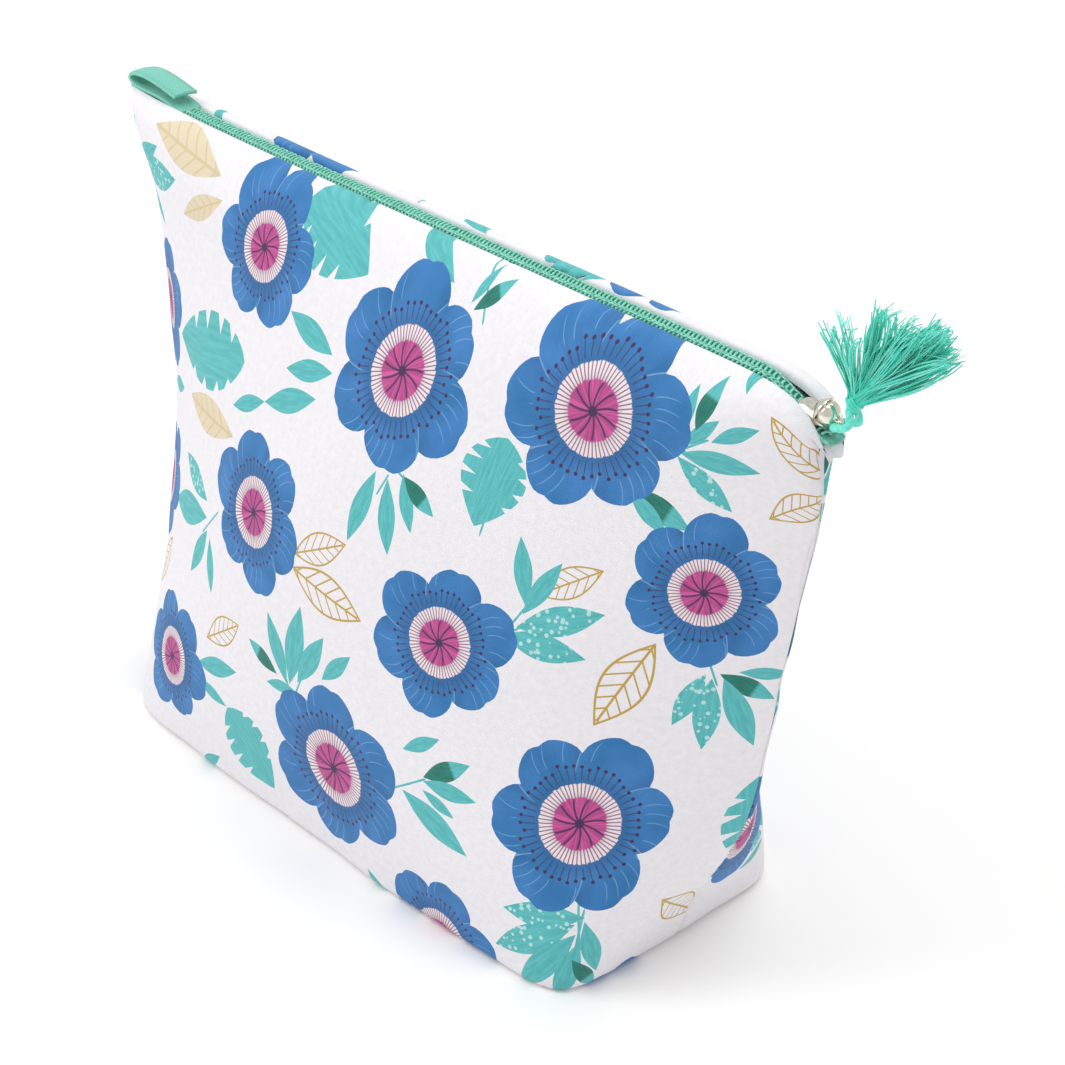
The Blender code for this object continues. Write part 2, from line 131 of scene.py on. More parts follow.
# Cloth
RIM_ROLL = 0.0014  # radius of the cloth's fold at the zip
RIM_INSIDE = 0.0009  # how far the fold goes down beside the zip
BASE_ROLL = 0.0026  # radius of the fold round the base
SEAM_TUCK = 0.0006  # how far the cloth goes in at a side seam
SEAM_REACH = 0.0015  # how near the seam it starts to
CLOSED_END_TAPER = 0.0024  # how far the top corner at the slider's end draws in
LINING_DEPTH = 0.0031
BASE_LINING_RINGS = ((0.0040, 0.0068), (0.0048, 0.0045), (0.0070, 0.0037))  # (inset, height)
ROLL_SHRINKS_FROM = 108  # millimetres across: from here to the seam the rim's roll narrows
GRID = 2.4  # millimetres between the cloth mesh's points
MIRROR_SHIFT = 8.0  # millimetres that the back wall's print is moved, as well as mirrored

GROUND, PETALS, LEAF, SPECKLED, DARK, GOLD, BROAD, STEM, PALE = range(9)
LEAF_RATIO = {LEAF: 0.145, SPECKLED: 0.16, DARK: 0.17, GOLD: 0.21, BROAD: 0.42, PALE: 0.15}
BROAD_HALF_WIDTH = 9.5  # millimetres at most
NOTCHES = (9, 14, 19, 23)  # the outline's steps at which a broad leaf is cut in
NOTCH_DEPTH = {1: 0.5, -1: 0.72}
STEM_HALF_WIDTH = 0.28
PETALS_EACH = 6

# (across, up, radius, turn in degrees)
FLOWERS = (
    (64.6, 139.5, 24, 12),
    (10.5, 131, 22.6, 40),
    (-47, 141, 18.5, 5),
    (39.5, 76.8, 19.6, 25),
    (-27, 83.5, 20, 50),
    (99, 106, 18.8, 30),
    (81, 43.5, 22.3, 8),
    (8.5, 28.5, 23.8, 33),
    (46, -3, 19.5, 15),
    (-62, 26, 18, 0),
    (-104, 107, 18, 20),
    (-93, 62, 16, 10),
    (100, -12, 16, 70),
)
# The front wall's flower at the left corner, and the back wall's beside the right seam
FRONT_FLOWER = (-101, 3, 15, 45)
BACK_FLOWER = (114, 38, 21, 20)
# (kind, then each leaf's base across, base up, tip across, tip up), from the lowest to the topmost
LEAVES = (
    (STEM, (80, 133, 89, 138.5), (86, 137, 94, 143), (72, 128, 78, 125), (50, 81, 59, 86.5)),
    (STEM, (55, 83.5, 60, 93), (14, 104, 16, 109.5), (16, 112, 24, 108.5), (-6, 36, -9, 46)),
    (STEM, (-7, 40, -3, 50), (30, 34, 41, 42), (84, 28, 86.5, 12), (86, 24, 85, 6), (102, 92, 106, 83)),
    (STEM, (28, 146, 22, 158), (44, 104, 46, 126), (-118, 136, -112, 141), (-44, 76, -53, 66)),
    (BROAD, (127, 28, 119.5, 58.5), (-10.5, 145.5, -37.5, 154.5), (42, 106, 45, 127), (-86, 105, -45, 114)),
    (BROAD, (-17, 8, -34, 25)),
    (LEAF, (-13, 127, -32, 131), (-11, 123.5, -28, 119), (-14, 116.5, -33, 109), (12, 109, 8.5, 91)),
    (LEAF, (16, 108.5, 21, 92), (20, 111, 26, 99)),
    (DARK, (20.5, 110.5, 31, 104.5), (23.5, 148, 31, 156)),
    (LEAF, (22, 149, 25, 157), (-1, 158, 15, 151), (87.5, 142, 87.5, 153), (88, 139.5, 95.5, 148)),
    (DARK, (90.5, 144, 92.5, 156)),
    (LEAF, (94.5, 142.5, 104.5, 149.5), (94, 163, 98.5, 154.5), (87.5, 137.5, 106, 138.5)),
    (SPECKLED, (87, 136.5, 101, 126.5)),
    (DARK, (77, 125.5, 93, 119.5)),
    (LEAF, (77, 125, 88, 117)),
    (GOLD, (122.5, 143, 105.5, 153.5), (109, 127.5, 121, 139.5), (76, 105.5, 61.5, 95.5)),
    (GOLD, (91, 91.5, 80, 67.5)),
    (LEAF, (59.5, 92, 54.5, 107.5), (59, 90, 66, 104.5)),
    (SPECKLED, (58, 86.5, 78.5, 95.5), (55, 84, 76, 83.5)),
    (DARK, (106, 86.5, 119, 81)),
    (SPECKLED, (103, 86, 97.5, 71), (104.5, 85, 105, 65.5)),
    (LEAF, (107, 85.5, 116.5, 67.5), (110, 87.5, 122, 88)),
    (GOLD, (-8.5, 81, 8.5, 90), (-8.5, 77.5, 16.5, 73.5)),
    (LEAF, (-9, 44.5, -17, 61.5), (-8, 45, -4.5, 68.5), (-5, 47, 4.5, 64), (4, 52, 14, 63)),
    (DARK, (-13, 45.5, -25, 50)),
    (LEAF, (-6, 44, -17, 41.5), (33, 46.5, 43.5, 53.5)),
    (DARK, (40, 42, 52.5, 50)),
    (LEAF, (40, 41, 55.5, 41.5), (40, 38.5, 50, 35), (33.5, 35.5, 55, 27)),
    (SPECKLED, (86.5, 21.5, 66.5, 18.5), (84.5, 19.5, 64.5, 6.5)),
    (LEAF, (85, 17, 72, -2), (86.5, 20.5, 91.5, 5.5), (86, 15, 82.5, -4)),
    (DARK, (85, 10, 92, 0.5)),
    (GOLD, (104, 24.5, 121, 10), (-44.5, 40.5, -29.5, 51.5)),
    (LEAF, (-47.5, 32, -30, 37.5), (-47, 27.5, -34.5, 25), (-46, 103, -33, 109), (-48, 67, -44.5, 53)),
    (LEAF, (-50, 68, -58, 52.5), (-51, 71, -79, 63)),
    (SPECKLED, (-52, 75, -72, 79)),
    (PALE, (-43, 96, -73, 94.5), (-69, 150.5, -99, 154), (-66, 146, -84, 137)),
    (LEAF, (-113, 140.5, -97, 149.5)),
    (SPECKLED, (-114, 139, -87, 144.5)),
    (LEAF, (-115, 138, -103, 127)),
    (DARK, (-114, 141, -109.5, 153)),
    (LEAF, (-82, 92, -96, 88)),
    (SPECKLED, (-110, 84, -119, 70)),
    (LEAF, (-108, 84, -108, 66)),
    (GOLD, (-78, 52, -84, 36)),
    (LEAF, (-84, 22, -93, 36)),
    (SPECKLED, (-86, 21, -104, 28)),
    (LEAF, (-84, 18, -98, 17)),
    (GOLD, (-118, 50, -108, 32)),
    (LEAF, (-40, 6, -50, -2), (20, 4, 28, -3)),
)


# The stage
SURROUNDINGS = 0.72
LIGHTS = (
    ("key", (-0.75, -0.85, 1.05), 0.8, 6.0),
    ("top", (0.1, 0.2, 1.7), 1.6, 12.0),
)
CAMERA_TARGET = Vector((0.0304, 0, 0.0886))
CAMERA_TURN = (math.radians(44.92), math.radians(29.11), math.radians(2.60))  # azimuth, elevation, roll
CAMERA_DISTANCE = 0.5828
CAMERA_LENS = 82.6  # millimetres
FLOOR_SIZE = 6.0


def linear(code):
    """A linear colour from an sRGB hex code."""
    shares = [int(code[i : i + 2], 16) / 255 for i in (0, 2, 4)]
    return tuple(s / 12.92 if s <= 0.04045 else ((s + 0.055) / 1.055) ** 2.4 for s in shares)


INK_CODES = {
    "white": "EDEBEF",
    "blue": "2670AB",
    "blue_light": "7FB0DC",
    "blue_deep": "1C5286",
    "plum": "3E2552",
    "cream": "EADDE0",
    "cream_stripe": "8F6F88",
    "pink": "D0589A",
    "pink_deep": "A83E80",
    "teal": "5FBFC0",
    "teal_deep": "4FAFB1",
    "green": "1F7F70",
    "gold": "BE9C45",
    "pale_gold": "DDCFB2",
    "pale_line": "C9B685",
    "speckle": "BFE3E0",
    "zip": "8AD7C5",
    # painted shade for the zip tape's twill grooves
    "zip_painted_groove_shade": "63BDA9",
    "yarn": "4ADDC5",
    # the next two are a painted highlight colour and a painted shade colour of the yarn
    "yarn_painted_highlight": "93F3E6",
    "yarn_painted_shade": "2CBBA3",
    "metal": "DAD5C6",
    "lining": "79C7BC",
    "blue_worn": "3C7DBE",
    "white_worn": "E6E3E8",
    "green_deep": "176A5E",
    "white_shade": "E4E1E6",
    "lining_deep": "6BBBB0",
    "nylon": "6CC6AD",
    "nylon_light": "93E0CA",
    "thread": "5FB8A0",
    "thread_light": "A6E3D2",
    "metal_light": "EDE9DD",
    "paper": "FBFAF9",
}
INK = {name: linear(code) for name, code in INK_CODES.items()}


# The form of the bag


def rim_height(x):
    reach = np.abs(x) / RIM_REACH
    fallen = HEIGHT - CLOSED_END_DROP * reach**CLOSED_END_POWER
    return np.where(np.asarray(x) > 0, fallen, HEIGHT + OPEN_END_RISE * reach**OPEN_END_POWER)


def zip_height(x):
    """The height of the coil's middle, which slopes down to the slider at the closed end."""
    under_rim = rim_height(x) - COIL_BELOW_RIM
    through_slider = SLIDER_Z - math.tan(SLIDER_TILT) * (x - SLIDER_X)
    share = np.clip((x - DIP_START) / (SLIDER_X - SLIDER_HALF_LENGTH - DIP_START), 0, 1)
    share = share * share * (3 - 2 * share)
    return under_rim + share * (through_slider - under_rim)


def half_depth(level):
    swell = BULGE * np.sin(np.pi * np.clip(level, 0, 1)) ** 1.2
    return RIM_HALF_DEPTH + (BASE_DEPTH / 2 - RIM_HALF_DEPTH) * np.sqrt(np.maximum(1 - level, 0)) + swell


class Form:
    """The wall's section at every level, tabled by the share of the way round it."""

    def __init__(self, levels=400, columns=481, turns=600):
        self.spread = 1.8
        steps = np.arange(levels) / (levels - 1)
        self.levels = 1 - (1 - steps) ** self.spread
        self.shares = np.linspace(0, 1, columns)
        self.half_lengths = np.zeros(levels)
        self.unit = np.zeros((levels, columns, 2))
        cosine = np.cos(np.pi * np.arange(turns + 1) / turns)
        for i, level in enumerate(self.levels):
            at_rim = level**20
            along = 2 + 9 * (1 - level) ** 7 + 10 * at_rim
            across = 1.15 + 7 * (1 - level) ** 10.8 + 6 * at_rim
            x = -np.sign(cosine) * np.abs(cosine) ** (2 / along)
            y = -(np.maximum(0, 1 - cosine**2) ** (1 / across))
            depth = half_depth(level)
            short, long = BASE_DEPTH / 2, PANEL_WIDTH
            for _ in range(36):
                half = (short + long) / 2
                pieces = np.hypot(np.diff(x) * half, np.diff(y) * depth)
                if pieces.sum() > PANEL_WIDTH + END_TUCK * level**12:
                    long = half
                else:
                    short = half
            run = np.concatenate([[0], np.cumsum(pieces)]) / pieces.sum()
            self.half_lengths[i] = half
            self.unit[i] = np.stack([np.interp(self.shares, run, x), np.interp(self.shares, run, y)], 1)

    def points(self, share, level, depth=0.0):
        """Points of the front wall that far under its outer face, for arrays of shares and levels."""
        level = np.clip(level, 0, 1)
        row = (1 - (1 - level) ** (1 / self.spread)) * (len(self.levels) - 1)
        low = np.minimum(row.astype(int), len(self.levels) - 2)
        up = row - low
        column = np.clip(share, 0, 1) * (len(self.shares) - 1)
        left = np.minimum(column.astype(int), len(self.shares) - 2)
        right = column - left
        half_length = self.half_lengths[low] * (1 - up) + self.half_lengths[low + 1] * up
        unit = 0
        for r, weight_r in ((low, 1 - up), (low + 1, up)):
            for c, weight_c in ((left, 1 - right), (left + 1, right)):
                unit = unit + self.unit[r, c] * (weight_r * weight_c)[:, None]
        x = (half_length - depth * (1 + 1.5 * level)) * unit[:, 0] + RIM_SHIFT * level**12
        y = (half_depth(level) - depth) * unit[:, 1]
        z = level * HEIGHT + level**3 * (rim_height(x) - HEIGHT)
        return np.stack([x, y, z], 1)


def unit_rows(vectors):
    return vectors / np.maximum(np.linalg.norm(vectors, axis=1), 1e-12)[:, None]


def softness(points, across, up, seed):
    """How far the padded cloth stands off its plain form, in metres: swells, and puckers under the zip."""
    swell = np.array([noise.noise(Vector((p[0] * 22, p[1] * 22 + seed, p[2] * 26))) for p in points])
    fine = np.array([noise.noise(Vector((p[0] * 70, p[1] * 40 + seed, p[2] * 60 + 9))) for p in points])
    under_rim = np.clip((RIM_UP - up) / 30, 0, 1)
    pucker = np.exp(-(((RIM_UP - up) / 14) ** 2)) * np.minimum(1, (RIM_UP - up).clip(0) / 3)
    ripple = np.sin(across / 6.3 + 2.0 * np.sin(across / 17.0)) * pucker
    at_side = np.exp(-(((HALF_PANEL - np.abs(across)) / 9) ** 2))
    side_ripple = np.sin(up / 5.1 + 1.7 * np.sin(up / 13.0)) * at_side
    inside_seams = np.clip((HALF_PANEL - np.abs(across)) / 12, 0, 1)
    padding = (1.3 * swell + 0.3 * fine) * inside_seams + 0.25 * side_ripple
    return (padding * under_rim + 0.25 * ripple * inside_seams) * MM


def cloth_points(form, across, up, side, depth=0.0):
    """Places the flat cloth's points, in millimetres, on the bag. Above the rim they roll inwards."""
    share = across * MM / PANEL_WIDTH + 0.5
    level = up * MM / HEIGHT
    points = form.points(share, level, depth)
    step = 0.004
    along = form.points(share + step, level, depth) - form.points(share - step, level, depth)
    under = np.minimum(level, 0.995)
    rise = form.points(share, under + step, depth) - form.points(share, under - step * 0.5, depth)
    normals = unit_rows(np.cross(along, rise))
    if depth == 0.0:
        stand_off = softness(points, across, np.minimum(up, RIM_UP), 5 + side * 3)
        points = points + normals * stand_off[:, None]
    inwards = unit_rows(np.cross(along * (1, 1, 0), (0, 0, -1)))
    over = np.maximum(up * MM - HEIGHT, 0)
    turn = np.minimum(over / RIM_ROLL, math.pi / 2)
    rest = np.maximum(over - RIM_ROLL * math.pi / 2, 0)
    at_seam = np.clip((np.abs(across) - ROLL_SHRINKS_FROM) / 11, 0, 1) ** 2
    roll = RIM_ROLL * (1 - 0.9 * at_seam)
    points = points + inwards * (roll * np.sin(turn))[:, None]
    points[:, 2] -= roll * (1 - np.cos(turn)) + rest * (1 - at_seam)
    points[:, 0] -= CLOSED_END_TAPER * np.clip(across / 120, 0, 1) ** 12 * np.clip(level, 0, 1) ** 12
    low = np.clip(1 - points[:, 2] / BASE_ROLL, 0, 1)
    points = points + inwards * (BASE_ROLL * (1 - np.sqrt(1 - low**2 * 0.98)))[:, None]
    from_seam = (PANEL_WIDTH / 2 - np.abs(across) * MM) / SEAM_REACH
    points[:, 0] -= np.sign(across) * SEAM_TUCK * np.clip(1 - from_seam, 0, 1) ** 2
    points[:, 1] = np.minimum(points[:, 1], -0.00005)
    points[:, 1] *= -side
    return points


# Meshes


def add_piece(name, points, faces, material, smooth=True, body=None):
    """A mesh object from points and faces."""
    mesh = bpy.data.meshes.new(name)
    mesh.from_pydata([tuple(p) for p in points], [], [tuple(f) for f in faces])
    mesh.validate()
    mesh.update()
    mesh.materials.append(material)
    if smooth:
        mesh.shade_smooth()
    obj = bpy.data.objects.new(name, mesh)
    bpy.context.scene.collection.objects.link(obj)
    if body:
        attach(obj, body)
    return obj


def turn_outwards(obj):
    """Turns a closed mesh's faces outwards."""
    bm = bmesh.new()
    bm.from_mesh(obj.data)
    bmesh.ops.recalc_face_normals(bm, faces=bm.faces)
    bm.to_mesh(obj.data)
    bm.free()


def tube(centres, radii, sides, cyclic=False):
    """(points, faces) of a tube through centres, each with its own radius."""
    centres = [Vector(c) for c in centres]
    count = len(centres)
    points = []
    normal = None
    for i, centre in enumerate(centres):
        before = centres[i - 1] if i or cyclic else centres[0]
        after = centres[(i + 1) % count] if i < count - 1 or cyclic else centres[-1]
        along = (after - before).normalized()
        if normal is None:
            normal = along.orthogonal().normalized()
        normal = (normal - along * normal.dot(along)).normalized()
        other = along.cross(normal)
        for k in range(sides):
            turn = 2 * math.pi * k / sides
            points.append(centre + (normal * math.cos(turn) + other * math.sin(turn)) * radii[i])
    faces = ring_faces(count, sides, caps=False, cyclic=cyclic)
    if not cyclic:
        faces.append(tuple(range(sides - 1, -1, -1)))
        faces.append(tuple((count - 1) * sides + k for k in range(sides)))
    return points, faces


def joined(parts):
    """One (points, faces) from several."""
    points, faces = [], []
    for some_points, some_faces in parts:
        start = len(points)
        points.extend(some_points)
        faces.extend(tuple(i + start for i in face) for face in some_faces)
    return points, faces


def grid_faces(rows, columns):
    faces = []
    for i in range(rows - 1):
        for k in range(columns - 1):
            a = i * columns + k
            faces.append((a, a + 1, a + columns + 1, a + columns))
    return faces


def ring_faces(rings, count, caps=True, cyclic=False):
    """Faces between stacked rings of count points each. Cyclic joins the last ring to the first."""
    faces = []
    for i in range(rings if cyclic else rings - 1):
        low, high = i * count, (i + 1) % rings * count
        for k in range(count):
            after = (k + 1) % count
            faces.append((low + k, low + after, high + after, high + k))
    if caps:
        faces.append(tuple(range(count)))
        faces.append(tuple((rings - 1) * count + k for k in range(count)))
    return faces


def opens_with(obj):
    """Bakes the piece's placement into its points."""
    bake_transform(obj)


# The print


def petal_outline(flower, count=96):
    across, up, radius, turn = flower
    outline = []
    for i in range(count):
        angle = 2 * math.pi * i / count
        lobe = abs(math.cos(PETALS_EACH * angle / 2))
        uneven = 0.05 * math.sin(angle * 2 + across) + 0.03 * math.sin(angle * 3 + up)
        notch = 0.035 * max(0.0, math.cos(PETALS_EACH * angle) - 0.86) / 0.14
        reach = radius * (0.76 + 0.23 * lobe**0.75 + uneven - notch)
        angle += math.radians(turn)
        outline.append((across + reach * math.cos(angle), up + reach * math.sin(angle)))
    return outline


def leaf_outline(leaf, count=28):
    """A leaf's outline, anticlockwise as the triangulation needs."""
    kind, across, up, tip_across, tip_up = leaf
    length = math.hypot(tip_across - across, tip_up - up)
    along = ((tip_across - across) / length, (tip_up - up) / length)
    outline = []
    for hand in (1, -1):
        steps = range(count) if hand == 1 else range(count, 0, -1)
        for i in steps:
            share = i / count
            bow = math.sin(math.pi * share)
            if kind == STEM:
                wide = STEM_HALF_WIDTH / length * min(1.0, bow * 6)
            elif kind == BROAD:
                widest = min(LEAF_RATIO[kind], BROAD_HALF_WIDTH / length)
                wide = widest * max(0.0, math.sin(math.pi * share**1.25)) ** 0.7
                if i in NOTCHES:
                    wide *= NOTCH_DEPTH[hand]
            else:
                wide = LEAF_RATIO[kind] * bow
            x, y = share * length, hand * wide * length
            outline.append((across + along[0] * x - along[1] * y, up + along[1] * x + along[0] * y))
    return outline[::-1]


def motifs(mirrored):
    """[(kind, outline, to the motif's own coordinates)], from the lowest to the topmost."""
    found = []
    leaves = [(kind, *place) for kind, *places in LEAVES for place in places]
    for kind, across, up, tip_across, tip_up in leaves:
        if mirrored and kind == PALE:
            continue
        if mirrored:
            across, tip_across = MIRROR_SHIFT - across, MIRROR_SHIFT - tip_across
        along = np.array([tip_across - across, tip_up - up], float)
        length = float(np.hypot(*along))
        along /= length
        matrix = np.array([along, [-along[1], along[0]]]) / length
        outline = leaf_outline((kind, across, up, tip_across, tip_up))
        found.append((kind, outline, matrix, np.array([across, up])))
    flowers = [*FLOWERS, FRONT_FLOWER]
    if mirrored:
        flowers = [(MIRROR_SHIFT - across, up, radius, 180 - turn) for across, up, radius, turn in FLOWERS]
        flowers.append(BACK_FLOWER)
    for across, up, radius, turn in flowers:
        angle = math.radians(turn)
        matrix = np.array([[math.cos(angle), math.sin(angle)], [-math.sin(angle), math.cos(angle)]]) / radius
        outline = petal_outline((across, up, radius, turn))
        found.append((PETALS, outline, matrix, np.array([across, up])))
    return found


def row_step(up):
    """How far the next row of cloth points is: closer at the base's fold, and closest over the rim."""
    if up >= RIM_UP - 2.5:
        return 0.45
    if up > RIM_UP - 9:
        return 0.9
    return 0.6 if up < 3 else GRID


def print_mesh(mirrored, top):
    """The flat cloth, cut along every motif's outline: (points, triangles, each one's motif, motifs)."""
    half = HALF_PANEL
    rows = [0.0]
    while rows[-1] < top - 0.05:
        rows.append(min(top, rows[-1] + row_step(rows[-1])))
    inner = np.linspace(-half + 2.0, half - 2.0, int(2 * half / GRID) // 2 * 2 + 1)
    inner[len(inner) // 2] = 0.0
    columns = [-half, -half + 0.6, -half + 1.2, *inner, half - 1.2, half - 0.6, half]
    points = [(c, r) for r in rows for c in columns]
    wide, tall = len(columns), len(rows)
    edges = []
    for i in range(tall - 1):
        for k in (0, wide // 2, wide - 1):
            edges.append((i * wide + k, (i + 1) * wide + k))
    for k in range(wide - 1):
        edges.append((k, k + 1))
        edges.append(((tall - 1) * wide + k, (tall - 1) * wide + k + 1))
    found = motifs(mirrored)
    polygons = []
    for _, outline, _, _ in found:
        polygons.append(list(range(len(points), len(points) + len(outline))))
        points.extend(outline)
    made = delaunay_2d_cdt([Vector(p) for p in points], edges, polygons, 0, 1e-4, True)
    corners = np.array([tuple(v) for v in made[0]])
    triangles = np.array(made[2])
    tops = np.array([max(ids) if ids else -1 for ids in made[5]])
    centres = corners[triangles].mean(1)
    inside = (np.abs(centres[:, 0]) < half) & (centres[:, 1] > 0) & (centres[:, 1] < top)
    return corners, triangles[inside], tops[inside], found


def make_cloth(form, where, side, material):
    """The wall's printed cloth, as a left and a right half that meet at its middle."""
    top = (HEIGHT + RIM_ROLL * math.pi / 2 + RIM_INSIDE) / MM
    corners, triangles, tops, found = print_mesh(where == "back", top)
    placed = cloth_points(form, corners[:, 0], corners[:, 1], side)
    for hand, name in HANDS:
        mine = (corners[triangles].mean(1)[:, 0] * hand) > 0
        used, index = np.unique(triangles[mine], return_inverse=True)
        faces = index.reshape(-1, 3)
        if side == 1:
            faces = faces[:, ::-1]
        obj = add_piece(f"cloth_{where}_{name}", placed[used], faces, material)
        write_print(obj.data, corners[used], tops[mine], found)
        normals_from(obj.data, form, corners[used], side)
        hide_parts(f"outer_{where}", f"padding_{where}")
        opens_with(obj)


def write_print(mesh, flat, tops, found):
    """Stores the flat cloth's millimetres on the points, and each motif's own coordinates on the corners."""
    cloth = mesh.attributes.new("cloth", "FLOAT_VECTOR", "POINT")
    cloth.data.foreach_set("vector", np.column_stack([flat, np.zeros(len(flat))]).astype(np.float32).ravel())
    corner_points = np.zeros(len(mesh.loops), np.int32)
    mesh.loops.foreach_get("vertex_index", corner_points)
    values = np.zeros((len(mesh.loops), 3))
    face_tops = np.repeat(tops, 3)
    for i, (kind, _, matrix, origin) in enumerate(found):
        mine = face_tops == i
        values[mine, :2] = (flat[corner_points[mine]] - origin) @ matrix.T
        values[mine, 2] = kind
    motif = mesh.attributes.new("motif", "FLOAT_VECTOR", "CORNER")
    motif.data.foreach_set("vector", values.astype(np.float32).ravel())


def normals_from(mesh, form, flat, side):
    """Shading normals taken across the whole wall, so that neither the halves nor thin triangles show."""
    step = 0.8
    half = HALF_PANEL
    right = cloth_points(form, np.minimum(flat[:, 0] + step, half), flat[:, 1], side)
    left = cloth_points(form, np.maximum(flat[:, 0] - step, -half), flat[:, 1], side)
    above = cloth_points(form, flat[:, 0], flat[:, 1] + step / 2, side)
    below = cloth_points(form, flat[:, 0], np.maximum(flat[:, 1] - step / 2, 0), side)
    normals = unit_rows(np.cross(right - left, above - below)) * (1 if side == -1 else -1)
    mesh.normals_split_custom_set_from_vertices([tuple(n) for n in normals])


# Materials


class Shader:
    """A Principled material, and short ways to add nodes to it."""

    def __init__(self, name, roughness, **values):
        self.material = bpy.data.materials.new(name)
        self.material.use_nodes = True
        self.tree = self.material.node_tree
        self.surface = self.tree.nodes["Principled BSDF"]
        self.surface.inputs["Roughness"].default_value = roughness
        for socket, value in values.items():
            self.surface.inputs[socket.replace("_", " ")].default_value = value

    def node(self, kind, *inputs, **settings):
        """A new node. A capitalised setting is one of its sockets, and any other is the node's own."""
        made = self.tree.nodes.new(f"ShaderNode{kind}")
        for setting, value in settings.items():
            if setting[0].isupper():
                self.set(made.inputs[setting], value)
            else:
                setattr(made, setting, value)
        for socket, value in zip(made.inputs, inputs):
            self.set(socket, value)
        return made

    def set(self, socket, value):
        if value is None:
            return
        if isinstance(value, bpy.types.NodeSocket):
            self.tree.links.new(value, socket)
        elif isinstance(value, tuple) and socket.type == "RGBA":
            socket.default_value = (*value, 1.0)
        else:
            socket.default_value = value

    def math(self, operation, *inputs):
        return self.node("Math", *inputs, operation=operation).outputs[0]

    def times(self, first, second):
        return self.math("MULTIPLY", first, second)

    def plus(self, first, second):
        return self.math("ADD", first, second)

    def minus(self, first, second):
        return self.math("SUBTRACT", first, second)

    def off_middle(self, share):
        return self.math("ABSOLUTE", self.minus(share, 0.5))

    def distance(self, first, second):
        """From nought, along two axes."""
        return self.math("SQRT", self.plus(self.times(first, first), self.times(second, second)))

    def scaled(self, vector, scale):
        return self.node("VectorMath", vector, scale, operation="MULTIPLY").outputs[0]

    def between(self, value, low, high, start=0.0, end=1.0):
        """value mapped from low..high to start..end, and held there."""
        return self.node("MapRange", value, low, high, start, end, clamp=True).outputs[0]

    def mix(self, share, first, second):
        made = self.node("Mix", data_type="RGBA")
        self.set(made.inputs[0], share)
        self.set(made.inputs[6], first)
        self.set(made.inputs[7], second)
        return made.outputs[2]

    def attribute(self, name):
        return self.node("Attribute", attribute_name=name)

    def noise(self, vector, scale, detail=2.0):
        return self.node("TexNoise", Vector=vector, Scale=scale, Detail=detail).outputs[0]

    def millimetres(self):
        """The object's own coordinates, in millimetres."""
        return self.scaled(self.node("TexCoord").outputs["Object"], (1000, 1000, 1000))

    def colour(self, value):
        self.set(self.surface.inputs["Base Color"], value)

    def bump(self, height, strength, distance):
        made = self.node("Bump", Strength=strength, Distance=distance, Height=height)
        self.set(self.surface.inputs["Normal"], made.outputs[0])

    def all_of(self, *shares):
        product = shares[0]
        for share in shares[1:]:
            product = self.times(product, share)
        return product


def woven(s, vector, pitch=0.46):
    """The height of a plain weave with a little slub. The vector is in millimetres on the flat cloth."""
    parts = s.node("SeparateXYZ", vector)
    across = s.math("SINE", s.times(parts.outputs[0], 2 * math.pi / pitch))
    up = s.math("SINE", s.times(parts.outputs[1], 2 * math.pi / pitch))
    plain = s.times(across, up)
    slub = s.noise(vector, 0.9, 4.0)
    return s.plus(s.times(plain, 0.5), s.times(slub, 1.6))


def arc(s, cell, radius, count):
    """How far a point is from the middle of its cell along the circle that count cells go round."""
    aside = s.off_middle(s.math("FRACT", cell))
    return s.times(s.times(aside, 2 * math.pi / count), radius)


def ray_mask(s, turns, radius, count, half_width, offset=0.0):
    """Thin lines from the middle outwards: 1 on a line."""
    aside = arc(s, s.plus(s.times(turns, count), offset), radius, count)
    return s.between(aside, half_width * 0.6, half_width, 1, 0)


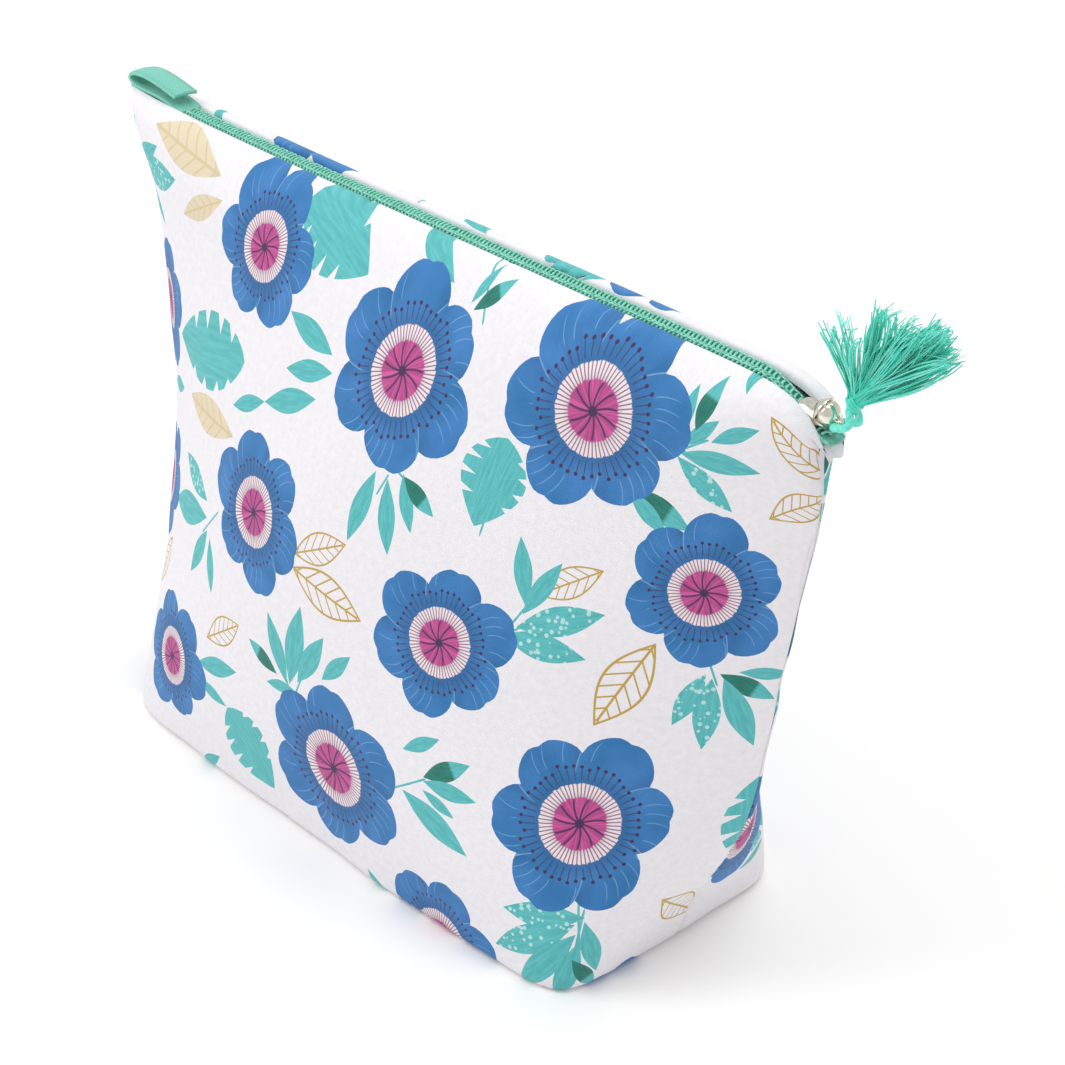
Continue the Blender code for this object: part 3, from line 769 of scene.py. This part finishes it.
def flower_colour(s, x, y, cloth):
    """The flower's own drawing over its blue petals, from its coordinates, where its radius is 1."""
    radius = s.distance(x, y)
    turns = s.plus(s.math("DIVIDE", s.math("ARCTAN2", y, x), 2 * math.pi), 0.5)
    direction = s.node("CombineXYZ", s.math("DIVIDE", x, radius), s.math("DIVIDE", y, radius)).outputs[0]
    outwards = s.node("CombineXYZ", 0.0, 0.0, s.times(radius, 1.6)).outputs[0]
    streak_at = s.node("VectorMath", s.scaled(direction, (13, 13, 13)), outwards, operation="ADD").outputs[0]
    streak = s.noise(streak_at, 1.0, 3.0)
    petals = s.mix(s.between(s.noise(cloth, 0.10), 0.35, 0.7), INK["blue"], INK["blue_worn"])
    bend = s.times(s.minus(radius, 0.8), 0.5)
    petal = s.math("FRACT", s.plus(s.times(turns, PETALS_EACH), bend))
    overlap = s.all_of(s.between(petal, 0.5, 0.501), s.between(petal, 0.74, 0.5), s.between(radius, 0.5, 0.8))
    petals = s.mix(s.times(overlap, 0.5), petals, INK["blue_deep"])
    to_edge = s.times(s.off_middle(petal), radius)
    rim = s.all_of(s.between(to_edge, 0.005, 0.009, 0.6, 0), s.between(radius, 0.5, 0.62))
    petals = s.mix(rim, petals, INK["blue_light"])
    petals = s.mix(petal_lines(s, turns, radius), petals, INK["blue_light"])
    dim = s.all_of(s.between(streak, 0.44, 0.36), s.between(radius, 0.95, 0.6))
    petals = s.mix(s.times(dim, 0.25), petals, INK["blue_deep"])
    petals = s.mix(s.between(radius, 0.60, 0.44, 0, 0.5), petals, INK["blue_deep"])
    petals = s.mix(stamens(s, turns, radius), petals, INK["plum"])
    edge = s.plus(radius, s.times(s.minus(streak, 0.5), 0.05))
    cream = s.mix(ray_mask(s, turns, radius, 58, 0.0085), INK["cream"], INK["cream_stripe"])
    cream = s.mix(s.between(edge, 0.34, 0.27, 0, 0.35), cream, INK["cream_stripe"])
    colour = s.mix(s.between(edge, 0.425, 0.435, 1, 0), petals, cream)
    pink = s.mix(s.between(streak, 0.40, 0.62), INK["pink_deep"], INK["pink"])
    curved = s.plus(turns, s.times(radius, 0.16))
    rays = s.all_of(ray_mask(s, curved, radius, 11, 0.014, 0.3), s.between(radius, 0.275, 0.265))
    pink = s.mix(s.times(rays, 0.9), pink, INK["plum"])
    pink = s.mix(s.between(radius, 0.055, 0.04), pink, INK["plum"])
    return s.mix(s.between(edge, 0.275, 0.29, 1, 0), colour, pink)


def petal_lines(s, turns, radius, count=44):
    """Fine pale lines on the petals' outer half, here and there: 1 on a line."""
    wave = s.times(s.math("SINE", s.times(radius, 7.0)), 0.012)
    cell = s.times(s.plus(turns, wave), count)
    chance = s.node("TexWhiteNoise", noise_dimensions="1D", W=s.plus(s.math("FLOOR", cell), 71.0))
    aside = arc(s, cell, radius, count)
    picked = s.between(chance.outputs[0], 0.50, 0.52, 0, 0.6)
    thin = s.between(aside, 0.003, 0.0065, 1, 0)
    return s.all_of(picked, thin, s.between(radius, 0.66, 0.70), s.between(radius, 0.95, 0.86))


def stamens(s, turns, radius, count=46):
    """Dots round the flower's middle, each at the end of a fine line: 1 on a mark."""
    cell = s.times(turns, count)
    chance = s.node("TexWhiteNoise", noise_dimensions="1D", W=s.math("FLOOR", cell))
    dot_at = s.between(chance.outputs[0], 0, 1, 0.575, 0.66)
    aside = s.times(s.minus(s.math("FRACT", cell), 0.5), 2 * math.pi / count)
    aside = s.times(aside, radius)
    off = s.minus(radius, dot_at)
    dots = s.between(s.distance(aside, off), 0.017, 0.023, 1, 0)
    line = s.all_of(
        s.between(s.math("ABSOLUTE", aside), 0.004, 0.008, 1, 0),
        s.between(radius, 0.46, 0.48),
        s.between(off, 0.0, -0.01),
    )
    return s.math("MAXIMUM", dots, s.times(line, 0.75))


def leaf_lines(s, x, y):
    """Masks of (midrib, slanting veins, a gold leaf's outline), where the leaf's length is 1."""
    aside = s.math("ABSOLUTE", y)
    midrib = s.all_of(s.between(aside, 0.009, 0.014, 1, 0), s.between(x, 0.97, 0.93))
    slant = s.math("FRACT", s.times(s.minus(x, s.times(aside, 0.9)), 7.0))
    veins = s.between(s.off_middle(slant), 0.06, 0.09, 1, 0)
    wide = s.times(s.math("SINE", s.times(x, math.pi)), LEAF_RATIO[GOLD])
    outline = s.between(s.minus(wide, aside), 0.020, 0.028, 1, 0)
    return midrib, veins, outline


def printed_cotton():
    s = Shader("printed_cotton", 0.86, Sheen_Weight=0.12, Sheen_Roughness=0.5)
    own = s.attribute("motif").outputs["Vector"]
    x, y, kind = s.node("SeparateXYZ", own).outputs
    cloth = s.attribute("cloth").outputs["Vector"]
    ground = s.mix(s.between(s.noise(cloth, 0.6, 4.0), 0.3, 0.7), INK["white"], INK["white_worn"])
    brush = s.noise(s.scaled(own, (2.0, 16.0, 1.0)), 2.2, 3.0)
    teal = s.mix(s.between(brush, 0.36, 0.66), INK["teal_deep"], INK["teal"])
    midrib, veins, outline = leaf_lines(s, x, y)
    ribbed = s.mix(s.times(midrib, 0.35), teal, INK["teal_deep"])
    dots = s.node("TexVoronoi", Vector=cloth, Scale=0.62)
    speckled = s.mix(s.between(dots.outputs["Distance"], 0.30, 0.36, 0.85, 0), ribbed, INK["speckle"])
    green = s.mix(s.between(brush, 0.35, 0.65), INK["green_deep"], INK["green"])
    green = s.mix(s.between(x, 0.60, 0.66), green, teal)
    lines = s.math("MAXIMUM", s.math("MAXIMUM", midrib, veins), outline)
    gold = s.mix(lines, ground, INK["gold"])
    pale = s.mix(s.times(lines, 0.6), INK["pale_gold"], INK["pale_line"])
    colour = ground
    drawings = (
        (PETALS, flower_colour(s, x, y, cloth)),
        (LEAF, ribbed),
        (SPECKLED, speckled),
        (DARK, green),
        (GOLD, gold),
        (BROAD, teal),
        (STEM, teal),
        (PALE, pale),
    )
    for value, drawn in drawings:
        colour = s.mix(s.math("COMPARE", kind, float(value), 0.4), colour, drawn)
    s.colour(colour)
    s.bump(woven(s, cloth), 0.5, 0.00010)
    return s.material


def two_tone(name, roughness, inks, scale, detail=2.0, span=(0.35, 0.65), **values):
    """A material that drifts between two inks: its Shader, and coordinates in millimetres."""
    s = Shader(name, roughness, **values)
    vector = s.millimetres()
    s.colour(s.mix(s.between(s.noise(vector, scale, detail), *span), INK[inks[0]], INK[inks[1]]))
    return s, vector


def plain_cloth(name, inks):
    s, vector = two_tone(name, 0.86, inks, 0.35, 4.0, (0.3, 0.7), Sheen_Weight=0.15, Sheen_Roughness=0.5)
    parts = s.node("SeparateXYZ", vector)
    flat = s.node("CombineXYZ", parts.outputs[0], s.plus(parts.outputs[1], parts.outputs[2]))
    s.bump(woven(s, flat.outputs[0]), 0.5, 0.00010)
    return s.material


def zip_tape_cloth():
    s = Shader("zip_tape_twill", 0.7, Sheen_Weight=0.2, Sheen_Roughness=0.4)
    parts = s.node("SeparateXYZ", s.millimetres())
    slant = s.plus(s.times(parts.outputs[0], 9.0), s.times(parts.outputs[1], 14.0))
    ribs = s.math("SINE", s.times(parts.outputs[1], 22.0))
    height = s.times(s.plus(s.math("SINE", slant), ribs), 0.5)
    # Painted shade: the tape is darker where the twill's height is low, in its grooves.
    s.colour(s.mix(s.between(height, -0.6, 0.7), INK["zip_painted_groove_shade"], INK["zip"]))
    s.bump(height, 0.6, 0.00012)
    return s.material


def nylon():
    s, vector = two_tone("zip_nylon", 0.38, ("nylon", "nylon_light"), 1.4)
    s.bump(s.noise(vector, 3.0), 0.15, 0.00004)
    return s.material


def stitch_thread():
    sheen = {"Sheen_Weight": 0.3, "Sheen_Roughness": 0.3}
    s, _ = two_tone("stitch_thread", 0.42, ("thread", "thread_light"), 2.0, 2.0, (0.4, 0.6), **sheen)
    return s.material


def yarn():
    s = Shader("tassel_yarn_thread", 0.48, Sheen_Weight=0.35, Sheen_Roughness=0.3)
    shade = s.attribute("shade").outputs["Fac"]
    # The yarn's tone runs from a painted shade colour, through its own colour, to a painted highlight colour.
    # The shade value varies at random from strand to strand, and is lower at the tassel's neck as painted
    # shade.
    colour = s.mix(s.between(shade, 0.0, 0.5), INK["yarn_painted_shade"], INK["yarn"])
    s.colour(s.mix(s.between(shade, 0.5, 1.0), colour, INK["yarn_painted_highlight"]))
    s.bump(s.noise(s.millimetres(), 5.0), 0.25, 0.00005)
    return s.material


def polished_metal():
    s, vector = two_tone("polished_nickel", 0.11, ("metal", "metal_light"), 0.5, 3.0, Metallic=1.0)
    s.bump(s.noise(vector, 1.2, 3.0), 0.04, 0.00005)
    return s.material


# Pieces


def make_lining(form, where, side, material):
    """The wall's lining, from the base to the underside of the zip tape."""
    half = HALF_PANEL
    columns = np.linspace(-half, half, 121)
    rows = np.concatenate([np.linspace(3.6, 140, 48), np.linspace(141.5, 153.5, 10)])
    across, up = np.meshgrid(columns, rows)
    points = cloth_points(form, across.ravel(), up.ravel(), side, LINING_DEPTH)
    points = points.reshape(len(rows), len(columns), 3)
    last = points[-1]
    at_tape = last.copy()
    at_tape[:, 1] = side * np.minimum(np.abs(last[:, 1]), 0.0042)
    at_tape[:, 2] = zip_height(last[:, 0]) - 0.0014
    turned_in = [last + (at_tape - last) * share for share in (0.35, 0.7, 1.0)]
    points = np.concatenate([points, np.array(turned_in)])
    middle = len(columns) // 2
    for hand, name, picked in ((-1, "left", slice(0, middle + 1)), (1, "right", slice(middle, len(columns)))):
        part = points[:, picked]
        faces = grid_faces(part.shape[0], part.shape[1])
        if side == -1:
            faces = [face[::-1] for face in faces]
        obj = add_piece(f"lining_{where}_{name}", part.reshape(-1, 3), faces, material)
        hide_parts(f"lining_{where}")
        opens_with(obj)


def places_between(ends, count):
    return [ends[0] + (ends[1] - ends[0]) * i / count for i in range(count + 1)]


def strip_along_zip(edges, top, thickness, x_ends, side, count=90):
    """(points, faces) of a band beside the zip, a little higher at its outer edge."""
    points = []
    middle = (edges[0] + edges[1]) / 2
    profile = ((edges[0], 0.0), (middle, 0.00005), (edges[1], 0.0003))
    profile += ((edges[1], 0.0003 - thickness), (middle, -thickness), (edges[0], -thickness))
    for x in places_between(x_ends, count):
        height = float(zip_height(x)) + top
        narrow = 1 - 0.5 * min(1.0, max(0.0, (abs(x) - 0.111) / 0.0065)) ** 2
        points.extend((x, side * y * narrow, height + z) for y, z in profile)
    return points, ring_faces(count + 1, len(profile))


def coil_parts(x_ends, side):
    """(points, faces) of one side's nylon spiral, flattened, with its heads at the zip's middle."""
    pitch, steps = 0.00122, 10
    count = int(abs(x_ends[1] - x_ends[0]) / pitch * steps)
    centres, radii = [], []
    for i, x in enumerate(places_between(x_ends, count)):
        turn = 2 * math.pi * i / steps + (0 if side < 0 else math.pi)
        head = max(0.0, -math.cos(turn))
        y = side * (0.00112 + 0.00100 * math.cos(turn))
        centres.append((x, y, float(zip_height(x)) + 0.00042 * math.sin(turn) + 0.00005))
        radii.append(0.00031 + 0.00008 * head**3)
    return tube(centres, radii, 5)


def stitch_parts(x_ends, y, lift, pitch=0.0017, thick=0.00023):
    """(points, faces) of a row of stitches: a cord that narrows where it dips into the tape."""
    count = int(abs(x_ends[1] - x_ends[0]) / pitch * 7)
    centres, radii = [], []
    for x in places_between(x_ends, count):
        swell = abs(math.sin(math.pi * x / pitch))
        slant = math.copysign(0.00012, y) * math.cos(math.pi * x / pitch)
        centres.append((x, y + slant, float(zip_height(x)) + lift + 0.00012 * swell))
        radii.append(thick * (0.45 + 0.55 * swell**0.7))
    return tube(centres, radii, 5)


def make_zip(where, side, tape, coil, thread):
    """One side of the zip, as a left and a right half."""
    for hand, name in HANDS:
        ends = (0.0, TAPE_ENDS[hand])
        on_coil = stitch_parts((0.0, STITCH_ENDS[hand]), side * COIL_STITCHES[0], COIL_STITCHES[1])
        on_tape = stitch_parts(ends, side * TAPE_STITCHES[0], TAPE_STITCHES[1])
        pieces = (
            ("zip_tape", strip_along_zip((0.0001, 0.0044), -0.0006, 0.0005, ends, side), tape, "zip_tape"),
            ("zip_coil", coil_parts((0.0, COIL_ENDS[hand]), side), coil, "zip_coil"),
            ("coil_stitching", joined([on_coil, on_tape]), thread, "thread"),
        )
        for node, (points, faces), material, slot in pieces:
            obj = add_piece(f"{node}_{where}_{name}", points, faces, material)
            turn_outwards(obj)
            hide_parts(f"{node}_{where}")
            opens_with(obj)


def base_ring(form, inset, height, columns=101):
    share = np.linspace(0, 1, columns)
    front = form.points(share, np.zeros(columns))
    half_x, half_y = front[:, 0].max(), BASE_DEPTH / 2
    front[:, 0] *= (half_x - inset) / half_x
    front[:, 1] *= (half_y - inset) / half_y
    front[:, 2] = height
    back = front[::-1] * (1, -1, 1)
    return [tuple(p) for p in np.concatenate([front[:-1], back[:-1]])]


def ring_sheet(rings, crown=0.0):
    """(points, faces) of an open sheet: stacked rings that shrink to a middle point."""
    count = len(rings[0])
    last = rings[-1]
    for shrink in (0.8, 0.55, 0.3, 0.1):
        lift = crown * (1 - shrink) ** 0.7
        rings = rings + [[(p[0] * shrink, p[1] * shrink, p[2] + lift) for p in last]]
    points = [p for ring in rings for p in ring]
    faces = ring_faces(len(rings), count, caps=False)
    start = len(points) - count
    points.append((0.0, 0.0, last[0][2] + crown))
    faces.extend((start + k, start + (k + 1) % count, len(points) - 1) for k in range(count))
    return points, faces


def make_base(form, cotton, lining):
    """The base's cloth, which curves up inside the walls' lower edge, and its lining."""
    rings = []
    for i in range(6):
        turn = math.pi / 2 * (1 - i / 5)
        inset = BASE_ROLL * (1 - math.sin(turn)) + 0.0007
        rings.append(base_ring(form, inset, BASE_ROLL * (1 - math.cos(turn))))
    points, faces = ring_sheet(rings)
    base = add_piece("base_cloth", points, faces, cotton, body="base")
    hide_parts("base_outer", "base_padding", "corner_seam_left", "corner_seam_right")
    rings = [base_ring(form, inset, height) for inset, height in BASE_LINING_RINGS]
    points, faces = ring_sheet(rings, 0.0004)
    inner = add_piece("base_lining_cloth", points, faces, lining, body="base")
    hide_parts("base_lining")


def make_side_seams(form, cotton):
    """The pressed seam down each side, a little under the walls' faces."""
    levels = np.linspace(0.012, 0.992, 70)
    for hand, name in HANDS:
        line = form.points(np.full(len(levels), 0.0 if hand < 0 else 1.0), levels)
        points = []
        for x, _, z in line:
            for y, sunk in ((-0.9, 0.9), (-0.45, 0.45), (0.0, 0.75), (0.45, 0.45), (0.9, 0.9)):
                points.append((x - hand * (sunk + 0.35) * MM, y * MM, z))
        faces = grid_faces(len(levels), 5)
        if hand < 0:
            faces = [face[::-1] for face in faces]
        obj = add_piece(f"seam_cloth_{name}", points, faces, cotton, body="base")
        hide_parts(f"side_seam_{name}")


def smooth_path(points, per_step):
    """A Catmull-Rom curve through points."""
    made = []
    for i in range(len(points) - 1):
        p0, p1 = points[max(0, i - 1)], points[i]
        p2, p3 = points[i + 1], points[min(len(points) - 1, i + 2)]
        for k in range(per_step):
            t = k / per_step
            bend = (2 * p0 - 5 * p1 + 4 * p2 - p3) * t * t + (3 * p1 - p0 - 3 * p2 + p3) * t**3
            made.append(0.5 * (2 * p1 + (p2 - p0) * t + bend))
    made.append(points[-1].copy())
    return made


def make_tab(tape):
    """The zip's folded tail over the open end's corner."""
    low = float(rim_height(-0.115)) - 0.0009
    curve = smooth_path([Vector((x, 0, low + z)) for x, z in TAIL_PATH], 5)
    half, thick, bow = 0.0036, 0.00045, 0.00035
    ring = [(y, t) for t in (1, -1) for y in (-t, -t / 2, 0, t / 2, t)]
    points = []
    for i, centre in enumerate(curve):
        along = (curve[min(len(curve) - 1, i + 1)] - curve[max(0, i - 1)]).normalized()
        out = Vector((along.z, 0, -along.x))
        for y, t in ring:
            points.append(centre + out * (thick * t - bow * (1 - y * y)) + Vector((0, y * half, 0)))
    obj = add_piece("zip_tail", points, ring_faces(len(curve), len(ring)), tape, body="base")
    turn_outwards(obj)
    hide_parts("zip_end_tab")


def seat():
    """From the slider's own coordinates, along the zip and up from it, to the bag's."""
    return Matrix.Translation((SLIDER_X, 0, SLIDER_Z)) @ Matrix.Rotation(SLIDER_TILT, 4, "Y")


def rounded_plate(half_x, half_y, corner, low, high, bevel, shift):
    """(points, faces) of a flat plate with round corners and softened edges."""
    rings = (
        (low, bevel),
        (low + bevel * 0.3, bevel * 0.3),
        (low + bevel, 0.0),
        (high - bevel, 0.0),
        (high - bevel * 0.3, bevel * 0.3),
        (high, bevel),
    )
    points = []
    per_corner = 8
    for z, inset in rings:
        for n, (sx, sy) in enumerate(((1, 1), (-1, 1), (-1, -1), (1, -1))):
            for i in range(per_corner):
                turn = math.pi / 2 * (n + i / (per_corner - 1))
                x = sx * (half_x - corner) + (corner - inset) * math.cos(turn)
                y = sy * (half_y - corner) + (corner - inset) * math.sin(turn)
                points.append((x + shift[0], y + shift[1], z + shift[2]))
    return points, ring_faces(len(rings), 4 * per_corner)


def turned(profile, sides=40):
    """(points, faces) turned about Z from (radius, height) pairs whose ends lie on the axis."""
    points, rings, faces = [], [], []
    for radius, height in profile:
        count = 1 if radius == 0 else sides
        rings.append([len(points) + i for i in range(count)])
        for i in range(count):
            turn = 2 * math.pi * i / sides
            points.append((radius * math.cos(turn), radius * math.sin(turn), height))
    for low, high in zip(rings, rings[1:]):
        for i in range(sides):
            j = (i + 1) % sides
            corners = [low[i % len(low)], low[j % len(low)], high[j % len(high)], high[i % len(high)]]
            faces.append(tuple(dict.fromkeys(corners)))
    return points, faces


def ring_band(middle, outer, inner, half_width, sides=32):
    """(points, faces) of a ring whose axis lies along Y, with softened edges."""
    soft = (outer - inner) * 0.3
    profile = (
        (inner, -half_width + soft),
        (inner + soft, -half_width),
        (outer - soft, -half_width),
        (outer, -half_width + soft),
        (outer, half_width - soft),
        (outer - soft, half_width),
        (inner + soft, half_width),
        (inner, half_width - soft),
    )
    points = []
    for i in range(sides):
        turn = 2 * math.pi * i / sides
        points.extend((middle[0] + r * math.cos(turn), y, middle[1] + r * math.sin(turn)) for r, y in profile)
    return points, ring_faces(sides, len(profile), caps=False, cyclic=True)


def add_metal(name, parts, metal, node, sharp):
    points, faces = joined(parts)
    obj = add_piece(name, points, faces, metal)
    turn_outwards(obj)
    obj.data.transform(seat())
    obj.data.set_sharp_from_angle(angle=math.radians(sharp))
    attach(obj, "slider")
    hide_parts(node)


def make_slider(metal):
    """The slider's two plates, and the ball with its collar and eye."""
    parts = [rounded_plate(*plate) for plate in PLATES]
    add_metal("slider_plates", parts, metal, "slider_body", 42)

    profile = [(r * BALL_RADIUS, h * BALL_RADIUS) for r, h in COLLAR]
    steps, first = 22, -0.12
    for i in range(1, steps):
        turn = first + (math.pi / 2 - first) * i / steps
        profile.append((BALL_RADIUS * math.cos(turn), BALL_RADIUS * math.sin(turn)))
    profile.append((0.0, BALL_RADIUS))
    points, faces = turned(profile)
    tilt = Vector((0, 0, 1)).rotation_difference(Vector((0.99, 0.08, -0.03)))
    middle = Vector((BALL_MIDDLE[0], 0, BALL_MIDDLE[1]))
    ball = ([tilt @ Vector(p) + middle for p in points], faces)
    eye = ring_band(EYE_MIDDLE, *EYE_RING)
    add_metal("slider_crown", [ball, rounded_plate(*EYE_STALK), eye], metal, "slider_ball", 50)


def eye_point():
    return seat() @ Vector((EYE_MIDDLE[0], 0, EYE_MIDDLE[1]))


def loop_aside():
    return Vector((NECK.z, 0.0, -NECK.x)).normalized()


def loop_point(turn):
    out = ((1 - math.cos(turn)) / 2) ** 2
    width = LOOP_HALF_WIDTH * math.sin(turn) * (1.0 - 0.2 * out)
    sag = LOOP_SAG * math.sin(math.pi * out) ** 1.5
    return eye_point() + NECK * out + loop_aside() * sag + Vector((0.0, width, 0.0))


def twisted(centres, ply, offset, turns, aside, plies=3, sides=8):
    """(points, faces) of a closed cord of plies twisted together, round a loop that faces aside."""
    count = len(centres)
    parts = []
    for n in range(plies):
        path = []
        for i, centre in enumerate(centres):
            along = (centres[(i + 1) % count] - centres[i - 1]).normalized()
            side = along.cross(aside).normalized()
            other = along.cross(side)
            turn = 2 * math.pi * (turns * i / count + n / plies)
            path.append(centre + (side * math.cos(turn) + other * math.sin(turn)) * offset)
        parts.append(tube(path, [ply] * count, sides, cyclic=True))
    return joined(parts)


def add_yarn(name, points, faces, shades, material, body, node):
    """A yarn piece whose points each hold how light the yarn is there."""
    obj = add_piece(name, points, faces, material)
    turn_outwards(obj)
    attribute = obj.data.attributes.new("shade", "FLOAT", "POINT")
    attribute.data.foreach_set("value", np.array(shades, np.float32))
    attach(obj, body)
    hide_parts(node)


def make_tassel(material):
    draw = random.Random(TASSEL_SEED)
    count = 96
    loop = [loop_point(2 * math.pi * i / count) for i in range(count)]
    points, faces = twisted(loop, 0.00050, 0.00042, 6, loop_aside())
    shades = [0.55 + 0.35 * draw.random() for _ in points]
    add_yarn("pull_cord", points, faces, shades, material, "pull_loop", "tassel_loop")

    neck = eye_point() + NECK
    turn = TASSEL_LEAN.to_track_quat("Z", "Y")
    per_round, rounds = 20, 3
    wrap = []
    for i in range(per_round * rounds + 1):
        angle = 2 * math.pi * i / per_round
        out = 0.0016 + 0.0001 * math.sin(i * 0.7)
        height = -0.0003 + 0.0006 * i / per_round
        wrap.append(neck + turn @ Vector((out * math.cos(angle), out * math.sin(angle), height)))
    wrapped = tube(wrap, [0.00036] * len(wrap), 6)
    heights = ((-0.6, 1.1), (0.0, 1.5), (0.9, 1.5), (1.8, 1.4), (2.6, 0.9))
    core = tube([neck + turn @ Vector((0, 0, h * MM)) for h, _ in heights], [r * MM for _, r in heights], 14)
    # The core under the wrap gets a fixed low shade value: painted shade between the wrap's turns.
    shades = [0.35 + 0.3 * draw.random() for _ in wrapped[0]] + [0.2] * len(core[0])
    points, faces = joined([wrapped, core])
    add_yarn("tassel_wrap", points, faces, shades, material, "tassel", "tassel_binding")

    points, faces, shades = tassel_threads(neck, turn, draw)
    add_yarn("tassel_skirt", points, faces, shades, material, "tassel", "tassel_threads")


def bezier(a, b, c, d, t):
    u = 1 - t
    return a * u**3 + b * 3 * u * u * t + c * 3 * u * t * t + d * t**3


def tassel_threads(neck, turn, draw):
    """(points, faces, shades) of threads in locks that fan out, and of loose ones over the zip."""
    start = neck + turn @ Vector((0, 0, 0.0004))
    fan = TASSEL_LEAN.cross(Vector((0, 1, 0))).normalized()
    depth = TASSEL_LEAN.cross(fan).normalized()
    locks = []
    for low, high, count, threads, spread, short, long, loose in THREAD_LOCKS:
        for _ in range(count):
            swing, into = draw.uniform(low, high), draw.gauss(0, 0.10 + loose * 0.5)
            length, shade = draw.uniform(short, long), draw.uniform(0.3, 0.95)
            curl = draw.gauss(0, 0.06 + loose)
            locks.append((swing, into, length, shade, curl, threads, spread))
    parts, shades = [], []
    steps, sides = 9, 4
    for swing, into, length, shade, curl, threads, spread in locks:
        for _ in range(threads):
            s, d = swing + draw.gauss(0, spread), into + draw.gauss(0, spread)
            end_way = (TASSEL_LEAN * math.cos(s) + fan * math.sin(s) + depth * d).normalized()
            long = length * draw.uniform(0.88, 1.06)
            end = start + end_way * long
            root = start + fan * draw.uniform(-0.0013, 0.0013) + depth * draw.uniform(-0.0013, 0.0013)
            first = root + (TASSEL_LEAN * 0.6 + end_way).normalized() * long * 0.25
            sway = (fan * (curl + draw.gauss(0, 0.12)) + depth * draw.gauss(0, 0.12)) * long
            second = end - end_way * long * 0.35 + sway * 0.7
            path = [bezier(root, first, second, end, i / steps) for i in range(steps + 1)]
            thick = draw.uniform(0.00016, 0.00024)
            part = tube(path, [thick * (1 - 0.35 * (i / steps) ** 2) for i in range(steps + 1)], sides)
            parts.append(part)
            tone = min(1.0, max(0.0, shade + draw.gauss(0, 0.13)))
            # Each thread is darker over its first rings, near the neck where the threads crowd: painted
            # shade.
            shades += [tone * (0.55 + 0.45 * min(1.0, i // sides / 4)) for i in range(len(part[0]))]
    points, faces = joined(parts)
    return points, faces, shades


# The scene


def add_light(name, place, size, power):
    light = bpy.data.lights.new(name, "AREA")
    light.shape = "DISK"
    light.size = size
    light.energy = power
    obj = bpy.data.objects.new(name, light)
    bpy.context.scene.collection.objects.link(obj)
    obj.location = place
    obj.rotation_euler = (Vector((0, 0, 0.08)) - Vector(place)).to_track_quat("-Z", "Y").to_euler()


def add_camera(azimuth, elevation, roll, target, distance, lens):
    """A camera that looks at the target from that bearing, and is rolled about its own axis."""
    camera = bpy.data.cameras.new("camera")
    camera.sensor_width = 36
    camera.lens = lens
    camera.clip_start = 0.01
    viewer = bpy.data.objects.new("camera", camera)
    bpy.context.scene.collection.objects.link(viewer)
    across = math.cos(elevation)
    back = Vector((math.sin(azimuth) * across, -math.cos(azimuth) * across, math.sin(elevation)))
    right = Vector((math.cos(azimuth), math.sin(azimuth), 0))
    up = back.cross(right)
    rolled_right = right * math.cos(roll) + up * math.sin(roll)
    rolled_up = up * math.cos(roll) - right * math.sin(roll)
    axes = Matrix((rolled_right, rolled_up, back)).transposed().to_4x4()
    viewer.matrix_world = Matrix.Translation(target + back * distance) @ axes
    bpy.context.scene.camera = viewer


def make_stage():
    """A pale floor, soft lights and the camera."""
    size = FLOOR_SIZE
    paper = Shader("floor_paper", 0.95)
    paper.colour(INK["paper"])
    corners = [(-size, -size, 0), (size, -size, 0), (size, size, 0), (-size, size, 0)]
    floor = add_piece("floor", corners, [(0, 1, 2, 3)], paper.material, smooth=False)

    world = bpy.data.worlds.new("studio")
    bpy.context.scene.world = world
    world.use_nodes = True
    background = world.node_tree.nodes["Background"]
    background.inputs[0].default_value = (1.0, 1.0, 1.0, 1.0)
    background.inputs[1].default_value = SURROUNDINGS
    for name, place, across, power in LIGHTS:
        add_light(name, place, across, power)
    add_camera(*CAMERA_TURN, CAMERA_TARGET, CAMERA_DISTANCE, CAMERA_LENS)
    bpy.context.scene.view_settings.view_transform = "Standard"


def main():
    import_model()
    make_stage()
    form = Form()
    print_cloth = printed_cotton()
    cotton = plain_cloth("white_cotton_cloth", ("white", "white_shade"))
    lining = plain_cloth("lining_cloth", ("lining", "lining_deep"))
    tape, coil, thread = zip_tape_cloth(), nylon(), stitch_thread()
    metal, tassel = polished_metal(), yarn()
    make_base(form, cotton, lining)
    for where, side in (("front", -1), ("back", 1)):
        make_cloth(form, where, side, print_cloth)
        make_lining(form, where, side, lining)
        make_zip(where, side, tape, coil, thread)
    make_side_seams(form, cotton)
    make_tab(tape)
    bottom_stop = bpy.data.objects["bottom_stop"]
    bottom_stop.data.materials.clear()
    bottom_stop.data.materials.append(metal)
    make_slider(metal)
    make_tassel(tassel)
    bpy.context.view_layer.update()


main()
